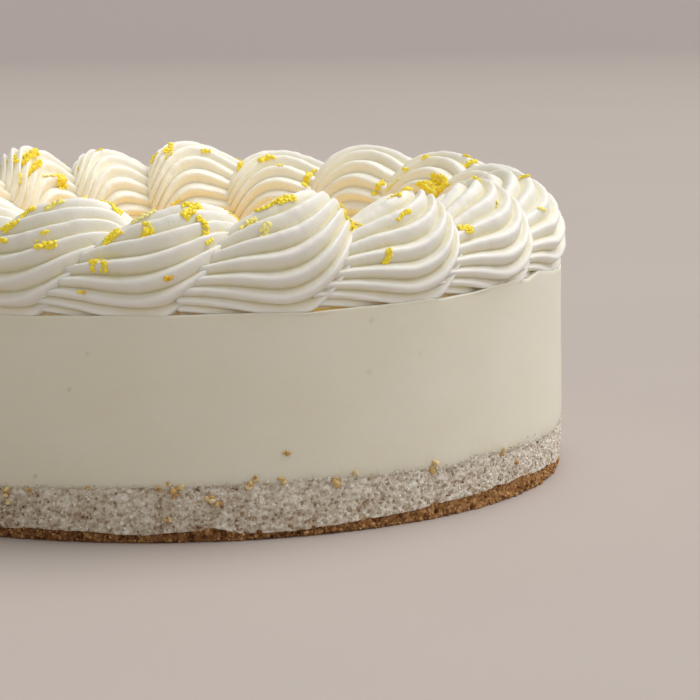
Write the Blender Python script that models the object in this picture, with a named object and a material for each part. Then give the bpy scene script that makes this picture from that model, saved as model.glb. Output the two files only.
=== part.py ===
"""Round lemon cheesecake, in metres, Z up, centred on the origin, standing on Z = 0.

From below: a thin crumb base, a sponge layer, a deep cream filling, a thin
lemon curd set into the top, and a ring of nineteen piped shells of ribbed
cream with lemon zest on them.  Angles run from the front (-Y) towards +X.
"""
import math
import random

import bmesh
import bpy
import numpy as np
from mathutils import Matrix, Vector
from mathutils.bvhtree import BVHTree

# Layers, all round
BODY_RADIUS = 0.1000
SPONGE_RADIUS = 0.0990
BISCUIT_RADIUS = 0.0985
SEGMENTS = 60
GAP = 0.0003
BISCUIT_HEIGHT = 0.0029
BISCUIT_CRAG = 0.00045
SPONGE_TOP = 0.0133
SPONGE_CRAG = 0.00035
RIM_HEIGHT = 0.0549
RIM_WAVE = 0.00025
RIM_BEVEL = 0.0004
CURD_RADIUS = 0.0974
CURD_FLOOR = 0.0530
CURD_TOP = 0.0548

# Tops of the crumb base and of the sponge at their edge: angle in degrees, height in millimetres
BISCUIT_KNOTS = (
    (-27.0, 2.9), (-20.0, 3.0), (-14.0, 2.9), (-6.0, 2.7), (0.0, 2.9), (6.0, 2.4), (12.0, 2.0), (18.0, 2.3),
    (24.0, 2.8), (30.0, 3.2), (36.0, 3.7), (42.0, 4.1), (48.0, 4.2), (54.0, 4.2), (60.0, 3.9), (66.0, 3.5),
    (72.0, 3.1), (80.0, 2.8), (95.0, 3.1), (120.0, 2.6), (145.0, 3.4), (170.0, 2.7), (200.0, 3.2),
    (230.0, 2.7), (265.0, 3.3), (300.0, 2.7))
SPONGE_KNOTS = (
    (-30.0, 12.8), (-24.0, 13.0), (-18.0, 13.4), (-10.0, 13.8), (-4.0, 13.8), (4.0, 13.9), (13.0, 13.7),
    (20.0, 13.5), (30.0, 13.0), (37.0, 12.8), (45.0, 13.0), (56.0, 12.9), (70.0, 12.4), (95.0, 13.2),
    (120.0, 12.8), (145.0, 13.5), (170.0, 13.0), (200.0, 13.6), (230.0, 12.9), (265.0, 13.5), (300.0, 13.0))

# Piping: one shell after another round the rim
SOLE_HEIGHT = 0.0554
PIPING_RADIUS = 0.0856
SHELL_HALF_WIDTH = 0.0150
SHELL_WAIST = 0.0080
SHELL_BELOW = 0.0105
ROUNDNESS = 1.8
SQUARENESS = 2.7
RIDGES = 22
RIDGE_DEPTH = 0.0024
CREST_PLACE = 0.6
TAIL_SIZE = 0.50
TAIL_BREADTH = 0.82
RISE_POWER = 1.3
TAIL_LEAN = 0.0012
HEAD_LEAN = -0.0025
FOOT_BLUNTNESS = 1.6
WAIST_BLUNTNESS = 2.7
POLE_HEIGHT = 0.0135
UNTWIST = 0.03
UNTWIST_SWING = 0.06
TWIST_START = -0.0120
TWIST_POWER = 2.6
TAIL_OVERLAP = -0.0005
STATION_SHARES = (0.0, 0.52, 1.0)
HEAD_SHARES = (0.48, 0.83)
CUTTER_LINES = 16
CUTTER_SKIN = 0.00095

# Where each crest stands, in degrees, and how high it is
CREST_ANGLES = (-18.6, 0.2, 19.1, 39.6, 58.9, 79.8, 100.6, 121.1, 142.3, 162.6,
                181.8, 198.7, 215.0, 233.0, 251.3, 269.7, 288.0, 306.3, 323.2)
CREST_HEIGHTS = (0.0251, 0.0236, 0.0258, 0.0240, 0.0244, 0.0240, 0.0228, 0.0246, 0.0250, 0.0230,
                 0.0260, 0.0244, 0.0268, 0.0258, 0.0250, 0.0262, 0.0254, 0.0262, 0.0242)

# Windings: turns of the ridges, turn in plan, share of the way the head reaches, bluntness of the crown
LOOSE_WINDING = (0.16, 0.48, 0.47, 1.9)
TIGHT_WINDING = (0.28, 0.25, 0.42, 2.2)
LOOSE_SHELLS = (0, 1, 14)

# Zest: angle in degrees, height above the stand, length, lean in degrees
ZEST_SEEN = (
    (-25.3, 0.0790, 0.0042, 70.0),
    (-21.6, 0.0775, 0.0034, 10.0),
    (-22.5, 0.0705, 0.0040, -15.0),
    (-15.5, 0.0812, 0.0034, 80.0),
    (-9.6, 0.0690, 0.0036, 40.0),
    (-6.7, 0.0736, 0.0046, 65.0),
    (-8.6, 0.0655, 0.0030, 25.0),
    (0.2, 0.0785, 0.0044, -35.0),
    (2.6, 0.0716, 0.0042, -75.0),
    (11.6, 0.0735, 0.0032, 85.0),
    (12.6, 0.0792, 0.0038, 60.0),
    (15.2, 0.0808, 0.0036, 15.0),
    (31.9, 0.0650, 0.0034, 88.0),
    (36.8, 0.0755, 0.0030, 30.0),
    (37.0, 0.0790, 0.0034, 20.0),
    (50.3, 0.0700, 0.0032, -60.0),
    (52.2, 0.0765, 0.0048, 25.0),
    (57.5, 0.0805, 0.0034, 10.0),
)
ZEST_WIDTH = 0.0016
ZEST_THICKNESS = 0.0015
ZEST_SEED = 31


def material(name, colour, roughness):
    """One plain material."""
    made = bpy.data.materials.new(name)
    made.use_nodes = True
    shader = made.node_tree.nodes["Principled BSDF"]
    shader.inputs["Base Color"].default_value = (*colour, 1.0)
    shader.inputs["Roughness"].default_value = roughness
    shader.inputs["Metallic"].default_value = 0.0
    return made


def biscuit_material():
    """Golden brown baked crumb."""
    return material("biscuit", (0.42, 0.22, 0.08), 0.90)


def sponge_material():
    """Pale open sponge."""
    return material("sponge", (0.62, 0.56, 0.46), 0.95)


def filling_material():
    """Smooth set cream."""
    return material("filling", (0.80, 0.74, 0.57), 0.50)


def curd_material():
    """Glossy lemon curd."""
    return material("curd", (0.85, 0.55, 0.08), 0.20)


def piping_material(number):
    """Whipped cream of one shell."""
    return material("piping_%02d" % number, (0.90, 0.86, 0.74), 0.45)


def finish(bm, name, made, smooth_angle):
    """Turn a bmesh into a named object, round where its faces meet flatter than the angle."""
    bmesh.ops.recalc_face_normals(bm, faces=bm.faces)
    for face in bm.faces:
        face.smooth = True
    for edge in bm.edges:
        if len(edge.link_faces) == 2:
            edge.smooth = edge.calc_face_angle(0.0) < smooth_angle
    mesh = bpy.data.meshes.new(name)
    bm.to_mesh(mesh)
    bm.free()
    body = bpy.data.objects.new(name, mesh)
    bpy.context.scene.collection.objects.link(body)
    if made is not None:
        mesh.materials.append(made)
    return body


def ring(radius, height):
    """One closed outline round the axis from arrays or single values."""
    angles = np.arange(SEGMENTS) * (2.0 * math.pi / SEGMENTS)
    radius = np.broadcast_to(radius, SEGMENTS)
    height = np.broadcast_to(height, SEGMENTS)
    return np.stack([radius * np.sin(angles), -radius * np.cos(angles), height], axis=1)


def stack(name, rings, bottom, top, made):
    """Closed disc: outlines joined one to the next, with a fan to the axis at each end."""
    bm = bmesh.new()
    loops = [[bm.verts.new(point) for point in outline] for outline in rings]
    low = bm.verts.new((0.0, 0.0, bottom))
    high = bm.verts.new((0.0, 0.0, top))
    for first, second in zip(loops, loops[1:]):
        for i in range(SEGMENTS):
            j = (i + 1) % SEGMENTS
            bm.faces.new((first[i], first[j], second[j], second[i]))
    for i in range(SEGMENTS):
        j = (i + 1) % SEGMENTS
        bm.faces.new((low, loops[0][j], loops[0][i]))
        bm.faces.new((high, loops[-1][i], loops[-1][j]))
    return finish(bm, name, made, math.radians(40.0))


def crag(seed, rows, depth):
    """Seeded in and out of a crumbly side, one value for each outline point and row."""
    rng = np.random.default_rng(seed)
    return rng.uniform(-depth, depth, (rows, SEGMENTS))


def edge_line(knots):
    """Height of an edge all round, straight from one knot to the next."""
    angles = np.arange(SEGMENTS) * (360.0 / SEGMENTS)
    places, heights = np.array(knots).T
    return 0.001 * np.interp(angles, places, heights, period=360.0)


def biscuit_line():
    """Height of the crumb base at its edge, all round."""
    return edge_line(BISCUIT_KNOTS)


def sponge_line():
    """Height of the sponge at its edge, all round."""
    return edge_line(SPONGE_KNOTS)


def rim_line():
    """Height of the cream rim, all round."""
    angles = np.arange(SEGMENTS) * (2.0 * math.pi / SEGMENTS)
    return RIM_HEIGHT + RIM_WAVE * np.cos(7.0 * angles + 0.6) + 0.5 * RIM_WAVE * np.sin(17.0 * angles)


def biscuit_base():
    """Crumb base with a crumbly side and a flat foot."""
    side = crag(11, 3, BISCUIT_CRAG)
    line = biscuit_line()
    rings = [
        ring(BISCUIT_RADIUS + side[0], 0.0),
        ring(BISCUIT_RADIUS + 0.0003 + side[1], 0.5 * line),
        ring(BISCUIT_RADIUS + side[2], line),
        ring(0.5 * BODY_RADIUS, BISCUIT_HEIGHT),
    ]
    return stack("biscuit_base", rings, 0.0, BISCUIT_HEIGHT, biscuit_material())


def sponge_layer():
    """Sponge between the crumb base and the filling."""
    side = crag(12, 4, SPONGE_CRAG)
    low = biscuit_line() + GAP
    high = sponge_line()
    rings = [ring(0.5 * BODY_RADIUS, BISCUIT_HEIGHT + GAP)]
    for row in range(4):
        share = row / 3.0
        rings.append(ring(SPONGE_RADIUS + side[row], low + (high - low) * share))
    rings.append(ring(0.5 * BODY_RADIUS, SPONGE_TOP))
    return stack("sponge_layer", rings, BISCUIT_HEIGHT + GAP, SPONGE_TOP, sponge_material())


def cream_filling():
    """Deep filling with a thin raised rim and a shallow recess for the curd."""
    low = sponge_line() + GAP
    rim = rim_line()
    rings = [
        ring(0.5 * BODY_RADIUS, SPONGE_TOP + GAP),
        ring(BODY_RADIUS, low),
        ring(BODY_RADIUS, rim - RIM_BEVEL),
        ring(BODY_RADIUS - RIM_BEVEL, rim),
        ring(CURD_RADIUS + GAP, rim),
        ring(CURD_RADIUS + GAP, CURD_FLOOR - GAP),
    ]
    return stack("cream_filling", rings, SPONGE_TOP + GAP, CURD_FLOOR - GAP, filling_material())


def lemon_curd():
    """Thin disc of curd lying in the recess of the filling."""
    rings = [ring(CURD_RADIUS, CURD_FLOOR), ring(CURD_RADIUS, CURD_TOP)]
    return stack("lemon_curd", rings, CURD_FLOOR, CURD_TOP, curd_material())


def section_table(height):
    """Outline of the fullest section as share of its length, sideways and upwards.

    The upper half is a little more pointed than an ellipse, the lower half
    squarer, so that the cut at the sole leaves a broad foot.
    """
    turn = np.linspace(0.0, 2.0 * math.pi, 721)
    cosine = np.cos(turn)
    sine = np.sin(turn)
    power = 2.0 / np.where(sine < 0.0, SQUARENESS, ROUNDNESS)
    across = np.sign(cosine) * np.abs(cosine) ** power * SHELL_HALF_WIDTH
    rise = np.abs(sine) ** power
    upward = np.where(sine < 0.0, -rise * SHELL_BELOW, rise * (height - SHELL_WAIST))
    steps = np.hypot(np.diff(across), np.diff(upward))
    share = np.concatenate([[0.0], np.cumsum(steps)]) / np.sum(steps)
    return share, across, upward


def shell_size(number):
    """Tail start and head end of one shell along the ring from its crest, in metres."""
    count = len(CREST_ANGLES)
    here = CREST_ANGLES[number]
    before = (here - CREST_ANGLES[number - 1]) % 360.0
    after = (CREST_ANGLES[(number + 1) % count] - here) % 360.0
    head = shell_winding(number)[2] * math.radians(after) * PIPING_RADIUS
    tail = TAIL_OVERLAP - math.radians(before) * PIPING_RADIUS
    return tail, head


def shell_winding(number):
    """Winding of the ridges, turn in plan, reach of the head and bluntness of its crown."""
    if number in LOOSE_SHELLS:
        return LOOSE_WINDING
    return TIGHT_WINDING


def shell_surface(number, lines, stations, skin=None):
    """Points of one shell for arrays of ridge lines (0 to 1) and stations along the ring.

    Each section is the full one shrunk towards the sole at the tail and
    towards a pole at the head.  The winding turns it so that the ridges start
    level and rise steeper and steeper towards the head, the lowest ones least.
    A skin width takes the place of the ridges when it is given.
    """
    height = CREST_HEIGHTS[number]
    tail, head = shell_size(number)
    twist, skew, reach, crown = shell_winding(number)
    share, across, upward = section_table(height)
    grown = np.clip((stations - tail) / -tail, 0.0, 1.0)
    rise = np.sin(0.5 * math.pi * grown) ** RISE_POWER
    size = TAIL_SIZE + (1.0 - TAIL_SIZE) * rise
    breadth = TAIL_BREADTH + (1.0 - TAIL_BREADTH) * rise
    ahead = np.clip(stations / head, 0.0, 1.0)
    wound = np.clip((stations - TWIST_START) / (head - TWIST_START), 0.0, 1.0) ** TWIST_POWER
    weight = 0.75 + 0.25 * np.cos(2.0 * math.pi * (lines - 0.3))
    level = UNTWIST + UNTWIST_SWING * np.cos(2.0 * math.pi * lines)
    turn = lines[None, :] + (twist * wound)[:, None] * weight - rise[:, None] * level
    turn = turn % 1.0
    side = np.interp(turn, share, across)
    up = np.interp(turn, share, upward)
    nudge = 0.002
    run = np.interp((turn + nudge) % 1.0, share, across) - np.interp((turn - nudge) % 1.0, share, across)
    lift = np.interp((turn + nudge) % 1.0, share, upward) - np.interp((turn - nudge) % 1.0, share, upward)
    length = np.hypot(run, lift)
    blunt = np.interp(SHELL_WAIST + up, (0.0, SHELL_WAIST, height),
                      (FOOT_BLUNTNESS, WAIST_BLUNTNESS, crown))
    cap = (1.0 - ahead[:, None] ** blunt) ** (1.0 / blunt)
    phase = (lines * RIDGES + 1e-6) % 1.0
    away = np.where(phase < CREST_PLACE, 1.0 - phase / CREST_PLACE, (phase - CREST_PLACE) / (1.0 - CREST_PLACE))
    relief = RIDGE_DEPTH * (0.5 - away ** 1.4)[None, :] * size[:, None]
    if skin is not None:
        relief = skin / np.maximum(cap, 0.3)
    side = side * breadth[:, None] + relief * lift / length
    up = (SHELL_WAIST + up) * size[:, None] - relief * run / length
    side = side * cap
    up = POLE_HEIGHT * (1.0 - cap) + up * cap
    lean = TAIL_LEAN * (1.0 - rise) + HEAD_LEAN * ahead ** 1.5
    along = stations[:, None] - skew * side
    radius = PIPING_RADIUS + side + lean[:, None]
    angle = math.radians(CREST_ANGLES[number]) + along / PIPING_RADIUS
    return np.stack([radius * np.sin(angle), -radius * np.cos(angle), SOLE_HEIGHT + up], axis=2)


def closed_tube(points, tip):
    """Closed bmesh over rows of points, flat at the first row and pointed at the tip."""
    bm = bmesh.new()
    loops = [[bm.verts.new(point) for point in row] for row in points]
    end = bm.verts.new(tip)
    count = len(loops[0])
    for first, second in zip(loops, loops[1:]):
        for i in range(count):
            j = (i + 1) % count
            bm.faces.new((first[i], first[j], second[j], second[i]))
    for i in range(count):
        bm.faces.new((end, loops[-1][i], loops[-1][(i + 1) % count]))
    bm.faces.new(loops[0])
    bmesh.ops.recalc_face_normals(bm, faces=bm.faces)
    return bm


def shell_tube(number):
    """Closed ribbed tube of one shell before its sole is cut, as a bmesh."""
    tail, head = shell_size(number)
    lines = (np.arange(RIDGES)[:, None] + np.array([0.0, CREST_PLACE])).ravel() / RIDGES
    stations = [tail * (1.0 - part) for part in STATION_SHARES]
    stations += [head * part for part in HEAD_SHARES]
    points = shell_surface(number, lines, np.array(stations))
    tip = shell_surface(number, lines, np.array([head]))[0].mean(axis=0)
    return closed_tube(points, tip)


def cut_sole(bm, height):
    """Cut a closed bmesh flat at a height and close it there."""
    parts = bm.verts[:] + bm.edges[:] + bm.faces[:]
    cut = bmesh.ops.bisect_plane(bm, geom=parts, dist=1e-6, plane_co=(0.0, 0.0, height),
                                 plane_no=(0.0, 0.0, -1.0), clear_outer=True)
    edges = [edge for edge in bm.edges if len(edge.link_faces) == 1]
    bmesh.ops.holes_fill(bm, edges=edges, sides=0)


def head_cutter(number):
    """A shell without its ridges, a gap larger: what the next shell's tail has to clear."""
    tail, head = shell_size(number)
    lines = np.arange(CUTTER_LINES) / CUTTER_LINES
    stations = [tail * (1.0 - STATION_SHARES[1]), 0.0] + [head * part for part in HEAD_SHARES]
    points = shell_surface(number, lines, np.array(stations), 0.5 * RIDGE_DEPTH + CUTTER_SKIN)
    tip = shell_surface(number, lines, np.array([head]))[0].mean(axis=0)
    forward = tip - points[-1].mean(axis=0)
    tip = tip + forward / np.linalg.norm(forward) * CUTTER_SKIN
    cutter = finish(closed_tube(points, tip), "cutter_%02d" % (number + 1), None, math.radians(60.0))
    cutter.hide_render = True
    cutter.display_type = "WIRE"
    return cutter


def apply_boolean(body, operation, operand=None, collection=None):
    """One Boolean of a body with an object or with all objects of a collection."""
    modifier = body.modifiers.new("cut", "BOOLEAN")
    modifier.operation = operation
    modifier.solver = "MANIFOLD"
    if collection is None:
        modifier.object = operand
    else:
        modifier.operand_type = "COLLECTION"
        modifier.collection = collection
    bpy.context.view_layer.objects.active = body
    bpy.ops.object.modifier_apply(modifier=modifier.name)


def keep_largest(body):
    """Drop the slivers and the sealed hollows that a cut leaves, grouped by shared edges."""
    bm = bmesh.new()
    bm.from_mesh(body.data)
    left = set(bm.faces)
    pieces = []
    while left:
        reached = [left.pop()]
        piece = []
        while reached:
            face = reached.pop()
            piece.append(face)
            for edge in face.edges:
                for other in edge.link_faces:
                    if other in left and len(edge.link_faces) == 2:
                        left.remove(other)
                        reached.append(other)
        pieces.append(piece)
    pieces.sort(key=len)
    for piece in pieces[:-1]:
        bmesh.ops.delete(bm, geom=piece, context="FACES")
    bm.to_mesh(body.data)
    bm.free()


def zest_spots():
    """Shell number, place near the surface, length and lean of every zest flake."""
    lines = np.arange(400) / 400.0
    spots = []
    for angle, height, length, lean in ZEST_SEEN:
        gaps = [abs((angle - crest + 4.0 + 180.0) % 360.0 - 180.0) for crest in CREST_ANGLES]
        number = gaps.index(min(gaps))
        station = math.radians(angle - CREST_ANGLES[number]) * PIPING_RADIUS
        station += shell_winding(number)[1] * 0.6 * SHELL_HALF_WIDTH
        points = shell_surface(number, lines, np.array([station]))[0]
        outward = np.hypot(points[:, 0], points[:, 1]) > PIPING_RADIUS
        miss = np.abs(points[:, 2] - height) + np.where(outward, 0.0, 1.0)
        spots.append((number, points[int(np.argmin(miss))], length, lean))
    return spots


def zest_flake(body, spot, index, rng):
    """One thin uneven flake, half sunk in the cream where it lies."""
    number, place, length, lean = spot
    bm = bmesh.new()
    bm.from_mesh(body.data)
    centre, outward, face, distance = BVHTree.FromBMesh(bm).find_nearest(Vector(place))
    bm.free()
    angle = math.atan2(centre.x, -centre.y)
    level = Vector((math.cos(angle), math.sin(angle), 0.0))
    level = (level - outward * level.dot(outward)).normalized()
    frame = Matrix((level, outward.cross(level), outward)).transposed()
    frame = frame @ Matrix.Rotation(math.radians(lean), 3, "Z")
    bm = bmesh.new()
    bmesh.ops.create_icosphere(bm, subdivisions=1, radius=0.5)
    for vert in bm.verts:
        wobble = 1.0 + rng.uniform(-0.18, 0.18)
        local = Vector((vert.co.x * length * wobble,
                        vert.co.y * ZEST_WIDTH * wobble,
                        vert.co.z * ZEST_THICKNESS))
        vert.co = centre + frame @ local
    return finish(bm, "flake_%02d" % index, None, math.radians(30.0))


def shell(number, spots):
    """One piped shell: ribbed, flat below, cut clear of the shell before it, zest joined on."""
    bm = shell_tube(number)
    cut_sole(bm, SOLE_HEIGHT)
    body = finish(bm, "shell_%02d" % (number + 1), piping_material(number + 1), math.radians(75.0))
    cutter = head_cutter((number - 1) % len(CREST_ANGLES))
    apply_boolean(body, "DIFFERENCE", operand=cutter)
    bpy.data.objects.remove(cutter)
    keep_largest(body)
    rng = random.Random(ZEST_SEED + number)
    mine = [spot for spot in spots if spot[0] == number]
    if mine:
        group = bpy.data.collections.new("zest_%02d" % (number + 1))
        bpy.context.scene.collection.children.link(group)
        for index, spot in enumerate(mine):
            flake = zest_flake(body, spot, index, rng)
            bpy.context.scene.collection.objects.unlink(flake)
            group.objects.link(flake)
        apply_boolean(body, "UNION", collection=group)
        for flake in list(group.objects):
            bpy.data.objects.remove(flake)
        bpy.data.collections.remove(group)
        keep_largest(body)
    return body


def main():
    """Build the whole cake."""
    for item in list(bpy.data.objects):
        bpy.data.objects.remove(item)
    biscuit_base()
    sponge_layer()
    cream_filling()
    lemon_curd()
    spots = zest_spots()
    for number in range(len(CREST_ANGLES)):
        shell(number, spots)


main()
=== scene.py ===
"""Round lemon cheesecake, dressed.

From below: crumb base, sponge, deep set cream with a thin lip, lemon curd in a
shallow recess, and a ring of nineteen piped shells with grated zest.  Lengths
are metres; angles run from the front (-Y) towards +X.
"""

import logging
import math
from dataclasses import dataclass, field
from enum import Enum
from itertools import product
from typing import NamedTuple

import bpy
import numpy as np
from mathutils import Matrix, Vector


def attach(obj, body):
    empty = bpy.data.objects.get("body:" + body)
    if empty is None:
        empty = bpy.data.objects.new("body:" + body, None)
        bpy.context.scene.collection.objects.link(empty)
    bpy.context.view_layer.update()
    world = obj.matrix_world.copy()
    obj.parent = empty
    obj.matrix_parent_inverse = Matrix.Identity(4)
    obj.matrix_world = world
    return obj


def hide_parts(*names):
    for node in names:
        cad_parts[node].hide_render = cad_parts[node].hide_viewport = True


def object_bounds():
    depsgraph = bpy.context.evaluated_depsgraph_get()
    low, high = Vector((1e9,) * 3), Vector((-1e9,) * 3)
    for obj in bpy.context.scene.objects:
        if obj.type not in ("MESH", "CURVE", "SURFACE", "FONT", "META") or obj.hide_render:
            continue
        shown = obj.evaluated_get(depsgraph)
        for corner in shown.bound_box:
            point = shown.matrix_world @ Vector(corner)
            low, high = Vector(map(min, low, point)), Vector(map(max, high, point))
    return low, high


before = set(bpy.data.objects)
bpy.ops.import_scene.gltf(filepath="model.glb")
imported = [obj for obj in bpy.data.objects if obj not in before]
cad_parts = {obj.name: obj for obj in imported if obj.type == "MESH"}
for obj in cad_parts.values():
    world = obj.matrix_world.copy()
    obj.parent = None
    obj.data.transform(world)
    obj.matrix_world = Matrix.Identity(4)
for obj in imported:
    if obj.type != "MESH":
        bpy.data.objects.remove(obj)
CAD_LOW, CAD_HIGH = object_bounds()

MM = 0.001
TURN = 2.0 * math.pi
# Side of the square picture, in pixels
FRAME_SIDE = 700
# Where the flat cuts of the layers change from rings to a fan
CORE_RADIUS = 60.0 * MM
# Circle on which noise along an edge is read
NOISE_CIRCLE = 0.1
# Usual range of a noise node
NOISE_SWING = (0.3, 0.7)
# Large odd numbers that scatter the corners of the noise lattice
HASH_STEPS = np.array([73856093, 19349663, 83492791], dtype=np.int64)
HASH_SEED = 2654435761
HASH_MIX = 1274126177
HASH_MASK = 0xFFFFFF

Array = np.ndarray
Colour = tuple[float, float, float]
Stops = tuple[tuple[float, Colour], ...]
Knots = tuple[tuple[float, float], ...]
Socket = bpy.types.NodeSocket
Finish = bpy.types.Material
Piece = bpy.types.Object

log = logging.getLogger("cheesecake")


# Shapes

def ring_points(radius: Array, angle: Array, height: Array) -> Array:
    """Points round the axis: x = radius sin(angle), y = -radius cos(angle).

    Args:
        radius: distance from the axis.
        angle: angle from the front, in radians.
        height: height above the stand.

    Returns:
        Array of the shared shape with a last axis of x, y, z.
    """
    radius, angle, height = np.broadcast_arrays(radius, angle, height)
    return np.stack([radius * np.sin(angle), -radius * np.cos(angle), height], axis=-1)


def lattice_hash(corner: Array, seed: int) -> Array:
    """Repeatable numbers from 0 to 1 for whole-number lattice corners.

    Args:
        corner: whole numbers with a last axis of 3.
        seed: picks another set of numbers.

    Returns:
        One number for each corner.
    """
    mixed = (corner * HASH_STEPS).sum(axis=-1) + seed * HASH_SEED
    mixed = (mixed ^ (mixed >> 13)) * HASH_MIX
    mixed = mixed ^ (mixed >> 16)
    return (mixed & HASH_MASK) / float(HASH_MASK)


def smooth_noise(points: Array, cell: float, seed: int) -> Array:
    """Noise from -1 to 1: corner numbers blended by smooth steps inside each cell.

    Args:
        points: places with a last axis of 3.
        cell: size of one cell.
        seed: picks another pattern.

    Returns:
        One value for each place.
    """
    spot = points / cell
    base = np.floor(spot).astype(np.int64)
    part = spot - base
    part = part * part * (3.0 - 2.0 * part)
    total = np.zeros(points.shape[:-1])
    for corner in product((0, 1), repeat=3):
        chosen = np.array(corner)
        weight = np.where(chosen == 1, part, 1.0 - part).prod(axis=-1)
        total += weight * lattice_hash(base + chosen, seed)
    return 2.0 * total - 1.0


def rough_noise(points: Array, cell: float, seed: int, layers: int = 3) -> Array:
    """Sum of smooth noises, each half as large and half as strong as the last.

    Args:
        points: places with a last axis of 3.
        cell: cell of the coarsest layer.
        seed: picks another pattern.
        layers: how many noises are summed.

    Returns:
        One value for each place, mostly from -1 to 1.
    """
    total = np.zeros(points.shape[:-1])
    for layer in range(layers):
        total += smooth_noise(points, cell / 2 ** layer, seed + layer) / 2 ** layer
    return total


def pore_distance(points: Array, cell: float, seed: int) -> Array:
    """Distance to the nearest of one scattered centre for each cell, in cells.

    Args:
        points: places with a last axis of 3.
        cell: size of one cell.
        seed: picks another scatter.

    Returns:
        One distance for each place, small inside a pore.
    """
    spot = points / cell
    base = np.floor(spot).astype(np.int64)
    nearest = np.full(points.shape[:-1], 9.0)
    for step in product((-1, 0, 1), repeat=3):
        corner = base + np.array(step)
        shift = np.stack([lattice_hash(corner, seed + axis) for axis in range(3)], axis=-1)
        nearest = np.minimum(nearest, np.linalg.norm(spot - corner - shift, axis=-1))
    return nearest


def grid_normals(points: Array) -> Array:
    """Outward unit normals of rows of closed outlines: across the row times along the rows.

    Args:
        points: rows by columns by 3, each row closed.

    Returns:
        Array of the same shape.
    """
    across = np.roll(points, -1, axis=1) - np.roll(points, 1, axis=1)
    along = np.gradient(points, axis=0)
    normal = np.cross(across, along)
    return normal / np.maximum(np.linalg.norm(normal, axis=-1, keepdims=True), 1e-12)


def soft_limit(values: Array, low: float, high: float, margin: float) -> Array:
    """Ease what stands past a wall back inside it: wall - margin * exp(-excess / margin).

    Args:
        values: lengths along one axis.
        low: lower wall.
        high: upper wall.
        margin: how far inside the wall the easing starts.

    Returns:
        The eased lengths.
    """
    over = np.maximum(values - (high - margin), 0.0)
    values = np.where(over > 0.0, high - margin * np.exp(-over / margin), values)
    under = np.maximum(low + margin - values, 0.0)
    return np.where(under > 0.0, low + margin * np.exp(-under / margin), values)


def full_circle(columns: int) -> Array:
    """Even angles once round the axis."""
    return np.arange(columns) * (TURN / columns)


def on_axis(height: float) -> Array:
    """Point on the axis of the cake."""
    return np.array([0.0, 0.0, height])


def in_scene(name: str, data: bpy.types.ID) -> Piece:
    """New object in the scene.

    Args:
        name: name of the object.
        data: mesh, light or camera that it shows.

    Returns:
        The object, at the origin.
    """
    made = bpy.data.objects.new(name, data)
    bpy.context.scene.collection.objects.link(made)
    return made


@dataclass
class Surface:
    """Vertices, faces and named vertex values of one piece."""

    points: Array
    faces: list[Array]
    marks: dict[str, Array] = field(default_factory=dict)

    def make(self, name: str, finish: Finish) -> Piece:
        """Put the surface into a smooth mesh object that rides on the cake.

        Args:
            name: name of the object.
            finish: material of all its faces.

        Returns:
            The new object.
        """
        mesh = bpy.data.meshes.new(name)
        corners = np.concatenate([part.ravel() for part in self.faces])
        sizes = np.concatenate([np.full(len(part), part.shape[1]) for part in self.faces])
        starts = np.concatenate([[0], np.cumsum(sizes)[:-1]])
        mesh.vertices.add(len(self.points))
        mesh.vertices.foreach_set("co", self.points.astype(np.float32).ravel())
        mesh.loops.add(len(corners))
        mesh.loops.foreach_set("vertex_index", corners.astype(np.int32))
        mesh.polygons.add(len(sizes))
        mesh.polygons.foreach_set("loop_start", starts.astype(np.int32))
        mesh.polygons.foreach_set("use_smooth", np.full(len(sizes), True))
        mesh.update(calc_edges=True)
        for mark, values in self.marks.items():
            layer = mesh.attributes.new(mark, "FLOAT", "POINT")
            layer.data.foreach_set("value", values.astype(np.float32))
        mesh.materials.append(finish)
        made = in_scene(name, mesh)
        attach(made, "root")
        return made


def closed_rows(points: Array, first: Array, last: Array) -> Surface:
    """Closed surface over rows of closed outlines, with a fan to a pole at each end.

    Args:
        points: rows by columns by 3.
        first: pole before the first row.
        last: pole after the last row.

    Returns:
        The surface, with the two poles as its last vertices.
    """
    rows, columns = points.shape[:2]
    here = np.arange(columns)
    after = (here + 1) % columns
    start = (np.arange(rows - 1) * columns)[:, None]
    quads = np.stack([start + here, start + after, start + columns + after, start + columns + here], axis=-1)
    end = (rows - 1) * columns
    low_fan = np.stack([np.full(columns, rows * columns), after, here], axis=-1)
    high_fan = np.stack([np.full(columns, rows * columns + 1), end + here, end + after], axis=-1)
    vertices = np.concatenate([points.reshape(-1, 3), [first, last]])
    return Surface(vertices, [quads.reshape(-1, 4), low_fan, high_fan])


def crumb_band(angle: Array, low: Array, high: Array, side: Array, tone: Array, cut_tone: float) -> Surface:
    """Closed band of crumb: a side between two flat cuts that run in to the core and the axis.

    Args:
        angle: angle of each column.
        low: height of the lower cut at each angle.
        high: height of the upper cut at each angle.
        side: rows of points on the side.
        tone: colour value of those points.
        cut_tone: colour value of the cuts.

    Returns:
        The band with its tones.
    """
    under, over = (ring_points(CORE_RADIUS, angle, height)[None] for height in (low, high))
    surface = closed_rows(np.concatenate([under, side, over]), on_axis(low.mean()), on_axis(high.mean()))
    cut = np.full(len(angle), cut_tone)
    surface.marks["tone"] = np.concatenate([cut, tone.ravel(), cut, [cut_tone, cut_tone]])
    return surface


class GrainForm(Enum):
    """How uneven a loose grain is."""

    CRUMB = 0.30
    SHRED = 0.22
    FLAKE = 0.38


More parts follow.
